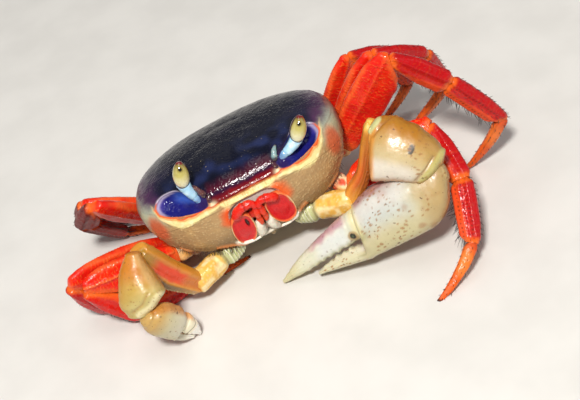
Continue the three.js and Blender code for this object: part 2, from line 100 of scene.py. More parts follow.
def bump(value: Array, centre: float | Array, width: float | Array) -> Array:
    """A soft round rise of height 1 at centre that dies away over width."""
    return np.exp(-(((value - centre) / width) ** 2))


def unit(vector: Sequence[float] | Array) -> Array:
    """The vector at length 1, along its last axis."""
    array = np.asarray(vector, float)
    return array / np.maximum(np.linalg.norm(array, axis=-1, keepdims=True), 1e-12)


def signed_power(value: Array, power: float) -> Array:
    """A power that keeps its base's sign, for squared-off rounds."""
    return np.sign(value) * np.abs(value) ** power


def cell_hash(cell: Array, salt: int) -> Array:
    """A steady random number from 0 to 1 for each whole-numbered cell.

    Args:
        cell: whole numbers, three to a cell.
        salt: another number gives another pattern.

    Returns:
        One number for each cell.
    """
    mask = 0xFFFFFFFF
    mixed = (cell[..., 0] * 73856093) ^ (cell[..., 1] * 19349663) ^ (cell[..., 2] * 83492791)
    mixed = (mixed ^ (salt * 2654435761)) & mask
    mixed = ((mixed ^ (mixed >> 15)) * 2246822519) & mask
    mixed = ((mixed ^ (mixed >> 13)) * 3266489917) & mask
    return ((mixed ^ (mixed >> 16)) & 0xFFFFFF) / 0xFFFFFF


def cloud(points: Array, size: float, salt: int = 0) -> Array:
    """Smooth noise from -1 to 1 whose lumps are about size across.

    Args:
        points: where it is wanted.
        size: how wide a lump is.
        salt: another number gives another pattern.

    Returns:
        One number for each point.
    """
    spot = points / size
    cell = np.floor(spot).astype(np.int64)
    part = spot - cell
    part = part * part * (3 - 2 * part)
    total = np.zeros(points.shape[:-1])
    for corner in np.ndindex(2, 2, 2):
        step = np.array(corner)
        weight = np.prod(np.where(step == 1, part, 1 - part), axis=-1)
        total += weight * cell_hash(cell + step, salt)
    return total * 2 - 1


def drift_of(points: Array, size: float, salt: int) -> Array:
    """Three clouds at each point, which move it a little."""
    return np.stack([cloud(points, size, salt + k) for k in range(3)], axis=-1)


def grains(points: Array, size: float, fill: float = 0.5, salt: int = 0) -> Array:
    """Round grains, one to a cell of the given size, as heights from 0 to 1.

    Args:
        points: where they are wanted.
        size: how wide a cell is.
        fill: how much of its cell a grain fills.
        salt: another number gives another pattern.

    Returns:
        A height for each point.
    """
    spot = points / size
    cell = np.floor(spot).astype(np.int64)
    nearest = np.full(points.shape[:-1], FAR)
    for corner in np.ndindex(3, 3, 3):
        other = cell + np.array(corner) - 1
        centre = np.stack([cell_hash(other, salt + k) for k in (1, 2, 3)], axis=-1)
        centre = other + 0.5 + 0.7 * (centre - 0.5)
        nearest = np.minimum(nearest, np.sum((spot - centre) ** 2, axis=-1))
    return np.sqrt(np.clip(1 - nearest / fill**2, 0, 1))


def curve_through(knots: Sequence[float] | Array, values: Array, spots: Array) -> Array:
    """A smooth curve through a table that never overshoots it.

    Args:
        knots: rising places of the table's rows.
        values: the table, a row for each knot.
        spots: where the curve is wanted.

    Returns:
        A row of values for each spot.
    """
    knots = np.asarray(knots, float)
    values = np.asarray(values, float)
    gaps = np.diff(knots)[:, None]
    rates = np.diff(values, axis=0) / gaps
    slopes = np.zeros_like(values)
    slopes[0], slopes[-1] = rates[0], rates[-1]
    if len(knots) > 2:
        ahead = 2 * gaps[1:] + gaps[:-1]
        behind = gaps[1:] + 2 * gaps[:-1]
        same = rates[:-1] * rates[1:] > 0
        safe_a = np.where(same, rates[:-1], 1.0)
        safe_b = np.where(same, rates[1:], 1.0)
        slopes[1:-1] = np.where(same, (ahead + behind) / (ahead / safe_a + behind / safe_b), 0)
    row = np.clip(np.searchsorted(knots, spots, side="right") - 1, 0, len(knots) - 2)
    width = gaps[row]
    t = ((spots - knots[row]) / width[:, 0])[:, None]
    return (
        (2 * t**3 - 3 * t**2 + 1) * values[row]
        + (t**3 - 2 * t**2 + t) * width * slopes[row]
        + (3 * t**2 - 2 * t**3) * values[row + 1]
        + (t**3 - t**2) * width * slopes[row + 1]
    )


def parts(points: Array) -> tuple[Array, Array, Array]:
    """The three coordinates of points, each as an array of its own."""
    return points[..., 0], points[..., 1], points[..., 2]


def distance_to_path(points: Array, path: Sequence[Sequence[float]]) -> Array:
    """How far each point is from a broken line through the path's points.

    Args:
        points: in two or three dimensions.
        path: the line's corners.

    Returns:
        A distance for each point.
    """
    corners = np.asarray(path, float)
    nearest = np.full(points.shape[:-1], 1e9)
    for start, end in zip(corners[:-1], corners[1:]):
        line = end - start
        along = np.clip(((points - start) @ line) / (line @ line), 0, 1)
        nearest = np.minimum(
            nearest, np.linalg.norm(points - start - along[..., None] * line, axis=-1)
        )
    return nearest


def section_angles(count: int, power: float) -> Array:
    """Angles that space points evenly round a squared-off circle of the given power.

    Args:
        count: how many points.
        power: 2 for a circle, more for a squarer one.

    Returns:
        The angles, rising from 0.
    """
    fine = np.linspace(0, TURN, FINE_STEPS + 1)
    ring = np.stack(
        [signed_power(np.cos(fine), 2 / power), signed_power(np.sin(fine), 2 / power)], -1
    )
    run = np.concatenate([[0], np.cumsum(np.linalg.norm(np.diff(ring, axis=0), axis=1))])
    return np.interp(np.arange(count) / count * run[-1], run, fine)


def linear(colour: str) -> Array:
    """A colour written as six hex digits, as the linear light that a shader mixes."""
    value = np.array([int(colour[i : i + 2], 16) for i in (0, 2, 4)]) / 255
    return np.where(value <= 0.04045, value / 12.92, ((value + 0.055) / 1.055) ** 2.4)


class Paint:
    """Colour laid over the points of a piece, one coat over another."""

    def __init__(self, shape: tuple[int, ...], colour: str) -> None:
        """Starts with one colour all over."""
        self.rgb = np.zeros(shape + (3,)) + linear(colour)

    def coat(self, colour: str, mask: Array | float) -> "Paint":
        """Lays a colour where the mask is above 0, fully where it is 1.

        Args:
            colour: six hex digits.
            mask: how much of it each point gets.

        Returns:
            The paint, ready for another coat.
        """
        cover = np.clip(np.asarray(mask, float), 0, 1)[..., None]
        self.rgb = self.rgb + (linear(colour) - self.rgb) * cover
        return self


# ------------------------------------------------------------------ meshes


@dataclass
class Stance:
    """How the shell is set: nose down by pitch, left side up by roll, and lifted."""

    pitch: float = 16 * DEG
    roll: float = 8 * DEG
    height: float = 22.0

    @property
    def matrix(self) -> Array:
        """Turns the shell's frame into the part's frame.

        Returns:
            A matrix of three rows.
        """
        c, s = math.cos(self.pitch), math.sin(self.pitch)
        nose = np.array([[1, 0, 0], [0, c, s], [0, -s, c]])
        c, s = math.cos(self.roll), math.sin(self.roll)
        return np.array([[c, 0, -s], [0, 1, 0], [s, 0, c]]) @ nose

    def place(self, points: Array) -> Array:
        """Moves points from the shell's frame to the part's frame."""
        return points @ self.matrix.T + np.array([0, 0, self.height])


STANCE = Stance()


@dataclass(frozen=True)
class Plane:
    """A flat cut: points with normal . point above offset lie on its far side."""

    normal: Array
    offset: float

    def height(self, points: Array) -> Array:
        """How far each point lies on the far side."""
        return points @ self.normal - self.offset

    def moved(self, distance: float) -> "Plane":
        """The same cut, further along its normal."""
        return Plane(self.normal, self.offset + distance)

    def flipped(self) -> "Plane":
        """The same cut, facing the other way."""
        return Plane(-self.normal, -self.offset)


FLOOR_LEVEL = 0.0


def in_row(points: Array) -> Array:
    """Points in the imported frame, in metres, from the part's own millimetres."""
    return (points + FRAME_SHIFT) * MM


def tube_normals(points: Array) -> Array:
    """Outward directions of a skin of rings, a row to each ring.

    Args:
        points: the skin, a row to each ring.

    Returns:
        A direction for each point.
    """
    along = np.gradient(points, axis=0)
    around = np.roll(points, -1, axis=1) - np.roll(points, 1, axis=1)
    normal = unit(np.cross(along, around))
    outward = points - points.mean(axis=1, keepdims=True)
    if np.sum(normal * outward) < 0:
        normal = -normal
    return normal


def raised(points: Array, lift: Array) -> Array:
    """A skin of rings lifted along its outward directions."""
    return points + tube_normals(points) * lift[..., None]


def tube_faces(rows: int, cols: int) -> list[tuple[int, ...]]:
    """Faces of a closed skin of rings, whose two last points close its ends.

    Args:
        rows: how many rings.
        cols: points round each.

    Returns:
        Corner numbers of each face.
    """
    near = np.arange(rows - 1)[:, None] * cols + np.arange(cols)[None, :]
    next_col = np.arange(rows - 1)[:, None] * cols + (np.arange(cols)[None, :] + 1) % cols
    quads = np.stack([near, near + cols, next_col + cols, next_col], -1).reshape(-1, 4)
    ring = np.arange(cols)
    turn = (ring + 1) % cols
    first, last = rows * cols, rows * cols + 1
    base = (rows - 1) * cols
    faces = [tuple(q) for q in quads.tolist()]
    faces += [(first, int(a), int(b)) for a, b in zip(ring, turn)]
    faces += [(last, base + int(b), base + int(a)) for a, b in zip(ring, turn)]
    return faces


def with_ends(grid: Array) -> Array:
    """A grid's points as one list, with the middle of its first and last ring added."""
    flat = grid.reshape(-1, *grid.shape[2:])
    return np.concatenate([flat, grid[:1].mean(axis=1), grid[-1:].mean(axis=1)])


def link(thing: Piece) -> Piece:
    """Puts an object in the scene."""
    bpy.context.scene.collection.objects.link(thing)
    return thing


def make_piece(
    name: str,
    points: Array,
    faces: Sequence[Sequence[int]],
    fields: dict[str, Array],
    material: Material,
) -> Piece:
    """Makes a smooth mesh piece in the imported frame.

    Args:
        name: the piece's name.
        points: its corners in the part's own millimetres.
        faces: corner numbers of each face.
        fields: what its material reads at each corner: numbers, or triples.
        material: its finish.

    Returns:
        The piece, in the scene.
    """
    mesh = bpy.data.meshes.new(name)
    mesh.from_pydata(in_row(points).tolist(), [], faces)
    for key, values in fields.items():
        if values.ndim == 1:
            layer = mesh.attributes.new(key, "FLOAT", "POINT")
            layer.data.foreach_set("value", values.astype(np.float32))
        else:
            layer = mesh.attributes.new(key, "FLOAT_VECTOR", "POINT")
            layer.data.foreach_set("vector", values.astype(np.float32).ravel())
    mesh.polygons.foreach_set("use_smooth", [True] * len(mesh.polygons))
    mesh.materials.append(material)
    return link(bpy.data.objects.new(name, mesh))


def trim(piece: Piece, cuts: Sequence[Plane]) -> None:
    """Cuts away what lies on the near side of each plane and closes the cut flat.

    Args:
        piece: a closed mesh piece.
        cuts: planes in the part's own millimetres; the far side of each is kept.
    """
    mesh = bmesh.new()
    mesh.from_mesh(piece.data)
    bmesh.ops.recalc_face_normals(mesh, faces=mesh.faces)
    for cut in cuts:
        spot = Vector(in_row(cut.normal * cut.offset))
        everything = list(mesh.verts) + list(mesh.edges) + list(mesh.faces)
        made = bmesh.ops.bisect_plane(
            mesh, geom=everything, dist=1e-8, plane_co=spot, plane_no=Vector(cut.normal),
            clear_inner=True,
        )
        edges = [e for e in made["geom_cut"] if isinstance(e, bmesh.types.BMEdge) and e.is_boundary]
        if not edges:
            continue
        caps = bmesh.ops.holes_fill(mesh, edges=edges, sides=0)["faces"]
        for cap in caps:
            cap.smooth = False
            for edge in cap.edges:
                edge.smooth = False
    loose = [v for v in mesh.verts if not v.link_faces]
    bmesh.ops.delete(mesh, geom=loose, context="VERTS")
    mesh.to_mesh(piece.data)
    mesh.free()


def tube_piece(
    name: str,
    points: Array,
    spot: Array,
    paint: Paint,
    wet: Array | float,
    mark: Array | float,
    finish: Material,
    cuts: Sequence[Plane] = (),
) -> Piece:
    """Makes a closed piece from rings of points, and cuts it.

    Args:
        name: the piece's name.
        points: the rings in the part's own millimetres, a row to each.
        spot: where its finish lays its pattern.
        paint: its colours.
        wet: how wet it is, from 0 to 1.
        mark: how strongly it is specked or wrinkled, from 0 to 1.
        finish: its material.
        cuts: planes whose far side is kept.

    Returns:
        The piece.
    """
    ones = np.ones(points.shape[:2])
    fields = {
        "spot": spot, "paint": paint.rgb, "wet": np.clip(wet, 0, 1) * ones,
        "mark": np.clip(mark, 0, 1) * ones,
    }
    fields = {key: with_ends(values) for key, values in fields.items()}
    piece = make_piece(name, with_ends(points), tube_faces(*ones.shape), fields, finish)
    trim(piece, cuts)
    return piece


def hand_over(piece: Piece, slot: str, *nodes: str) -> None:
    """Sets a piece on the crab, in place of the nodes it stands for.

    Args:
        piece: the finished mesh.
        slot: not used.
        nodes: the solids it stands for, if any.
    """
    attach(piece, "root")
    if nodes:
        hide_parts(*nodes)
    LOG.info("%s: %d corners", piece.name, len(piece.data.vertices))


# ------------------------------------------------------------------ shader tools


class Wiring:
    """Places and joins the nodes of one material or one group."""

    def __init__(self, tree: Tree) -> None:
        """Starts with the tree emptied."""
        self.tree = tree
        tree.nodes.clear()

    def put(self, kind: str, inputs: dict[int | str, object] | None = None, **settings: object):
        """Places a node.

        Args:
            kind: the node's type, without its common prefix.
            inputs: what feeds each input: a socket, or a plain value.
            settings: the node's own options.

        Returns:
            The node.
        """
        node = self.tree.nodes.new("ShaderNode" + kind)
        for key, value in settings.items():
            setattr(node, key, value)
        self.feed(node, inputs or {})
        return node

    def feed(self, node: bpy.types.Node, inputs: dict[int | str, object]) -> None:
        """Joins sockets or sets plain values to a node's inputs.

        Args:
            node: the node.
            inputs: what feeds each input, by its number or name.
        """
        for key, value in inputs.items():
            if isinstance(value, Link):
                self.tree.links.new(value, node.inputs[key])
            else:
                node.inputs[key].default_value = value

    def read(self, name: str, output: str = "Fac") -> Link:
        """What a piece's corners hold under a name."""
        return self.put("Attribute", attribute_name=name).outputs[output]

    def sum(self, kind: str, a: object, b: object = 0.0, clamp: bool = False) -> Link:
        """One sum on two numbers."""
        return self.put("Math", {0: a, 1: b}, operation=kind, use_clamp=clamp).outputs[0]

    def plus(self, a: object, b: object, clamp: bool = False) -> Link:
        """Two numbers added."""
        return self.sum("ADD", a, b, clamp)

    def times(self, a: object, b: object, clamp: bool = False) -> Link:
        """Two numbers multiplied."""
        return self.sum("MULTIPLY", a, b, clamp)

    def span(
        self, value: Link, low: float, high: float, to_low: float = 0.0, to_high: float = 1.0
    ) -> Link:
        """Carries a number softly from one span to another."""
        inputs = {0: value, 1: low, 2: high, 3: to_low, 4: to_high}
        return self.put("MapRange", inputs, interpolation_type="SMOOTHSTEP").outputs[0]

    def blend(self, part: object, a: object, b: object, kind: str = "MIX") -> Link:
        """Mixes two colours."""
        inputs = {0: part, 6: a, 7: b}
        return self.put("Mix", inputs, data_type="RGBA", blend_type=kind).outputs[2]

    def noise(
        self, spot: Link, size: float | Link, detail: float = 3.0, rough: float = 0.55
    ) -> Link:
        """Smooth noise with lumps of a size in millimetres.

        Args:
            spot: where it is read.
            size: how wide a lump is.
            detail: how many finer layers it has.
            rough: how strong they are.

        Returns:
            A number from 0 to 1.
        """
        scale = self.sum("DIVIDE", 1.0, size) if isinstance(size, Link) else 1 / size
        inputs = {"Vector": spot, "Scale": scale, "Detail": detail, "Roughness": rough}
        return self.put("TexNoise", inputs, noise_dimensions="3D").outputs["Fac"]

    def group(self, tree: Tree, **inputs: object) -> Link:
        """Places a group.

        Args:
            tree: the group.
            inputs: what feeds each input, by name.

        Returns:
            What comes out of it.
        """
        node = self.put("Group", node_tree=tree)
        self.feed(node, inputs)
        return node.outputs[0]

    def show(self, kind: str, inputs: dict[int | str, object]) -> None:
        """Places a shader and sends it to the surface."""
        self.put("OutputMaterial", {0: self.put(kind, inputs).outputs[0]})


class Group(Wiring):
    """A shader group under way, which turns what it is given into one number."""

    def __init__(self, name: str, inputs: dict[str, float | None], output: str) -> None:
        """Starts the group.

        Args:
            name: the group's name.
            inputs: usual value of each input by its name, or None for a vector.
            output: name of the number that comes out.
        """
        tree = bpy.data.node_groups.new(name, "ShaderNodeTree")
        super().__init__(tree)
        for label, usual in inputs.items():
            kind = "NodeSocketVector" if usual is None else "NodeSocketFloat"
            socket = tree.interface.new_socket(label, in_out="INPUT", socket_type=kind)
            if usual is not None:
                socket.default_value = usual
        tree.interface.new_socket(output, in_out="OUTPUT", socket_type="NodeSocketFloat")
        self.given = tree.nodes.new("NodeGroupInput").outputs[: len(inputs)]
        self.made = tree.nodes.new("NodeGroupOutput").inputs[0]

    def close(self, value: Link) -> Tree:
        """Sends the number out, which completes the group."""
        self.tree.links.new(value, self.made)
        return self.tree


@dataclass(frozen=True)
class Effects:
    """The shader groups that the finishes share."""

    mottle: Tree
    specks: Tree
    grain: Tree
    wrinkles: Tree

    @staticmethod
    def build_mottle() -> Tree:
        """Uneven pigment: a shade that lightens and darkens a colour in soft clouds.

        Returns:
            The group.
        """
        wires = Group("uneven pigment", {"Spot": None, "Size": 2.0, "Contrast": 0.2}, "Shade")
        spot, size, contrast = wires.given
        broad = wires.times(wires.noise(spot, size, 2.0), 0.6)
        fine = wires.times(wires.noise(spot, wires.times(size, 0.22), 3.0), 0.4)
        centred = wires.times(wires.sum("SUBTRACT", wires.plus(broad, fine), 0.5), 4.0)
        return wires.close(wires.plus(wires.times(centred, contrast), 1.0))

    @staticmethod
    def build_specks() -> Tree:
        """Scattered specks of mud and pigment, some round, some ragged.

        Returns:
            The group.
        """
        wires = Group("scattered specks", {"Spot": None, "Size": 0.9, "Share": 0.2}, "Mask")
        spot, size, share = wires.given
        scale = wires.sum("DIVIDE", 1.0, size)
        wobble = wires.put(
            "TexNoise", {"Vector": spot, "Scale": 2.2, "Detail": 2.0}
        ).outputs["Color"]
        bent = wires.put("VectorMath", {0: wobble, 1: (0.55, 0.55, 0.55)}, operation="MULTIPLY")
        moved = wires.put("VectorMath", {0: spot, 1: bent.outputs[0]}, operation="ADD").outputs[0]
        cells = wires.put("TexVoronoi", {"Vector": moved, "Scale": scale, "Randomness": 1.0})
        pick = wires.put("SeparateColor", {0: cells.outputs["Color"]})
        wanted = wires.sum("LESS_THAN", pick.outputs[0], share)
        radius = wires.plus(wires.times(pick.outputs[1], 0.2), 0.06)
        inside = wires.span(wires.sum("SUBTRACT", radius, cells.outputs["Distance"]), -0.03, 0.05)
        return wires.close(wires.times(inside, wanted))

    @staticmethod
    def build_grain() -> Tree:
        """The fine relief of wet shell: pits and pimples over softer waves.

        Returns:
            The group.
        """
        wires = Group("shell grain", {"Spot": None, "Size": 0.5, "Pits": 0.5}, "Height")
        spot, size, depth = wires.given
        waves = wires.noise(spot, wires.times(size, 2.5), 2.0)
        fine = wires.times(wires.noise(spot, size, 3.0), 0.6)
        scale = wires.sum("DIVIDE", 1.0, size)
        cells = wires.put("TexVoronoi", {"Vector": spot, "Scale": scale}, feature="SMOOTH_F1")
        pits = wires.times(wires.span(cells.outputs["Distance"], 0.0, 0.6), depth)
        return wires.close(wires.plus(wires.plus(waves, fine), pits))

    @staticmethod
    def build_wrinkles() -> Tree:
        """Short fine ridges that run across a limb, broken into scallops.

        Returns:
            The group.
        """
        wires = Group("cross wrinkles", {"Spot": None, "Pitch": 0.85}, "Mask")
        spot, pitch = wires.given
        parts = wires.put("SeparateXYZ", {0: spot})
        wander = wires.times(wires.noise(spot, 2.4, 2.0), 2.6)
        scallop = wires.sum("ABSOLUTE", wires.sum("SINE", wires.times(parts.outputs["Z"], 2.6)))
        bent = wires.plus(wander, wires.times(scallop, 0.3))
        place = wires.sum("DIVIDE", wires.plus(parts.outputs["X"], bent), pitch)
        ridge = wires.span(wires.sum("SINE", wires.times(place, TURN)), 0.35, 0.95)
        breaks = wires.span(wires.noise(spot, 1.3, 2.0), 0.42, 0.6)
        return wires.close(wires.times(ridge, breaks))

    @classmethod
    def build(cls) -> "Effects":
        """Makes the four groups."""
        return cls(cls.build_mottle(), cls.build_specks(), cls.build_grain(), cls.build_wrinkles())


@dataclass(frozen=True)
class Finish:
    """A shell finish: painted pigment, specks, wrinkles, grain and wetness."""

    name: str
    mottle_size: float = 2.2
    mottle: float = 0.12
    speck_size: float = 1.1
    speck_share: float = 0.0
    speck_colour: str = "5a3a20"
    wrinkle_colour: str = "f07a2a"
    wrinkles: float = 0.0
    wrinkle_pitch: float = 0.85
    wrinkle_height: float = 0.035
    grain_size: float = 0.5
    grain_height: float = 0.05
    pits: float = 0.5
    dry: float = 0.5
    wet: float = 0.16
    coat: float = 0.6
    specular: float = 0.5
    inner_light: float = 0.0
    inner_colour: Triple = (1.0, 0.4, 0.2)
    inner_depth: float = 0.0008
    coat_roughness: float = 0.12
    ior: float = 1.5

    def make(self, effects: Effects) -> Material:
        """Builds the material, which reads paint, spot, wet and mark at each corner.

        Args:
            effects: the shared groups.

        Returns:
            The material.
        """
        material = bpy.data.materials.new(self.name)
        material.use_nodes = True
        wires = Wiring(material.node_tree)
        spot = wires.read("spot", "Vector")
        wet = wires.read("wet")
        mark = wires.read("mark")
        shade = wires.group(effects.mottle, Spot=spot, Size=self.mottle_size, Contrast=self.mottle)
        grey = wires.put("CombineColor", {k: shade for k in range(3)}).outputs[0]
        colour = wires.blend(1.0, wires.read("paint", "Color"), grey, "MULTIPLY")
        grain = wires.group(effects.grain, Spot=spot, Size=self.grain_size, Pits=self.pits)
        inputs = {"Height": grain, "Distance": self.grain_height * MM * 2, "Strength": 1.0}
        normal = wires.put("Bump", inputs).outputs[0]
        rough = wires.span(wires.noise(spot, 1.6, 3.0), 0.35, 0.65, -0.05, 0.09)
        rough = wires.plus(rough, wires.span(wet, 0.0, 1.0, self.dry, self.wet), clamp=True)
        if self.wrinkles:
            ridges = wires.group(effects.wrinkles, Spot=spot, Pitch=self.wrinkle_pitch)
            ridges = wires.times(ridges, mark)
            part = wires.times(ridges, self.wrinkles)
            colour = wires.blend(part, colour, (*linear(self.wrinkle_colour), 1))
            inputs = {"Height": ridges, "Distance": self.wrinkle_height * MM * 2, "Normal": normal}
            normal = wires.put("Bump", inputs).outputs[0]
        if self.speck_share:
            given = {"Spot": spot, "Share": self.speck_share}
            large = wires.group(effects.specks, Size=self.speck_size, **given)
            small = wires.group(effects.specks, Size=self.speck_size * 0.45, **given)
            gate = wires.span(wires.noise(spot, 5.0, 2.0), 0.38, 0.62)
            both = wires.sum("MAXIMUM", large, wires.times(small, 0.75))
            part = wires.times(wires.times(both, gate), mark)
            colour = wires.blend(part, colour, (*linear(self.speck_colour), 1))
            rough = wires.plus(rough, wires.times(part, 0.3), clamp=True)
        inputs = {
            "Base Color": colour,
            "Roughness": rough,
            "Normal": normal,
            "Coat Weight": wires.times(wet, self.coat, clamp=True),
            "Coat Roughness": self.coat_roughness,
            "Coat Normal": normal,
            "Specular IOR Level": self.specular,
            "IOR": self.ior,
        }
        if self.inner_light:
            inputs["Subsurface Weight"] = self.inner_light
            inputs["Subsurface Radius"] = self.inner_colour
            inputs["Subsurface Scale"] = self.inner_depth
        wires.show("BsdfPrincipled", inputs)
        return material


@dataclass(frozen=True)
class Finishes:
    """Every finish of the crab."""

    shell: Material
    leg: Material
    claw: Material
    mouth: Material
    soft: Material
    cornea: Material
    bristle: Material

    @classmethod
    def build(cls) -> "Finishes":
        """Makes the materials from their settings.

        Returns:
            The set of materials.
        """
        effects = Effects.build()
        shell = Finish(
            "shell", mottle=0.16, speck_share=0.12, speck_colour="c9b48c", speck_size=0.8,
            grain_size=0.55, grain_height=0.026, pits=0.8, dry=0.36, wet=0.12, coat=0.36,
            specular=0.08,
        )
        leg = Finish(
            "leg", mottle=0.14, mottle_size=1.6, wrinkles=0.5, grain_size=0.6, grain_height=0.05,
            dry=0.44, wet=0.16, coat=0.3, specular=0.2,
        )
        claw = Finish(
            "claw", mottle=0.09, mottle_size=3.0, speck_share=0.34, speck_size=1.25, grain_size=0.9,
            grain_height=0.03, pits=0.3, dry=0.42, wet=0.24, coat=0.4, inner_light=0.08,
        )
        mouth = Finish(
            "mouthparts", mottle=0.1, mottle_size=1.0, grain_size=0.35, grain_height=0.03, dry=0.45,
            wet=0.2, coat=0.3, specular=0.35, inner_light=0.03,
        )
        soft = Finish("soft skin", mottle=0.12, mottle_size=0.8, grain_size=0.3, grain_height=0.025,
                      dry=0.4, wet=0.15, coat=0.7, inner_light=0.12)
        cornea = Finish(
            "cornea", mottle=0.1, mottle_size=0.6, grain_size=0.12, grain_height=0.004, pits=0.2,
            dry=0.14, wet=0.08, coat=1.0, inner_light=0.06, inner_colour=(0.8, 0.7, 0.3),
        )
        bristle = Finish(
            "bristle", mottle=0.15, mottle_size=0.5, grain_size=0.2, grain_height=0.004, dry=0.45,
            wet=0.3, coat=0.2,
        )
        return cls(
            *(each.make(effects) for each in (shell, leg, claw, mouth, soft, cornea, bristle))
        )


# ------------------------------------------------------------------ the body


@dataclass
class Orbit:
    """The hollow that an eye lies in, on one side of the shell's front."""

    side: Side
    centre: Triple = (13.8, -16.15, 1.0)
    along: Triple = (0.927, 0.354, 0.134)
    across: Triple = (0.0, 0.655, 0.756)
    half_length: float = 6.1
    half_height: float = 2.95
    depth: float = 2.3
    reach: float = 5.0
    power: float = 2.3
    taper: float = 0.32
    droop: float = 0.3

    def axes(self) -> tuple[Array, Array, Array, Array]:
        """Centre, and directions along the hollow, up across it and out of it.

        Returns:
            Four vectors in the shell's frame.
        """
        mirror = self.side.mirror
        along = unit(self.along)
        across = unit(np.array(self.across) - along * np.dot(along, self.across))
        out = np.cross(along, across)
        return np.array(self.centre) * mirror, along * mirror, across * mirror, out * mirror

    def chart(self, points: Array) -> tuple[Array, Array, Array]:
        """Where points lie on the hollow: from its middle, 1 at the rim; along; and up it.

        Args:
            points: in the shell's frame.

        Returns:
            The three numbers for each point.
        """
        centre, along, across, out = self.axes()
        offset = points - centre
        u = offset @ along / self.half_length
        inner = smooth(0.45, -0.6, u)
        v = (offset @ across / self.half_height + self.droop * inner) / (1 - self.taper * inner)
        near = (np.abs(u) ** self.power + np.abs(v) ** self.power) ** (1 / self.power)
        return np.where(np.abs(offset @ out) < self.reach, near, FAR), u, v

    def dig(self, points: Array) -> Array:
        """Sinks the hollow and raises its rim.

        Args:
            points: in the shell's frame.

        Returns:
            How each point moves.
        """
        near, u, v = self.chart(points)
        rise = (0.16 + 0.12 * smooth(-0.1, 0.6, v)) * bump(near, 1.09, 0.075)
        fall = self.depth * np.clip(1 - near**2.4, 0, 1) ** 0.8 * (1 - 0.7 * smooth(0.0, -0.65, u))
        fall += 0.10 * cloud(points, 0.7, 9) * (near < 0.95)
        return (rise - np.where(near < 1, fall, 0))[..., None] * self.axes()[3]

    def dress(self, paint: Paint, points: Array) -> Array:
        """Paints the hollow, its rim and its brow.

        Args:
            paint: the body's paint.
            points: in the shell's frame.

        Returns:
            How far each point belongs to the hollow.
        """
        near, u, v = self.chart(points)
        inside, brow = smooth(1.02, 0.95, near), smooth(0.0, 0.5, v)
        wall = inside * smooth(0.86, 1.0, near)
        rim = bump(near, 1.04, 0.035) * (1 - brow)
        paint.coat("b9aec0", bump(near, 1.05, 0.04) * brow * smooth(-0.1, 0.3, u) * 0.9)
        paint.coat("2a1a34", bump(near, 1.05, 0.06) * brow * smooth(0.1, -0.2, u) * 0.9)
        paint.coat("d9541c", rim * (0.5 + 0.45 * smooth(-0.5, 0.4, u)))
        paint.coat("1a1a68", inside)
        # brighter blue on the upper inner side of the hollow: partly its own blue, partly painted
        # light
        paint.coat("3f66c4", inside * smooth(-0.1, 0.6, v) * smooth(0.6, 0.0, u) * 0.7)
        paint.coat("1b1650", wall * 0.5)
        paint.coat("2a1c4c", inside * smooth(-0.35, -0.8, u) * 0.9)
        paint.coat("54479a", inside * smooth(0.68, 0.95, u + 0.1 * v) * 0.6)
        paint.coat("c4b6d0", wall * smooth(0.3, 0.7, u + 0.2 * v) * 0.9)
        return inside


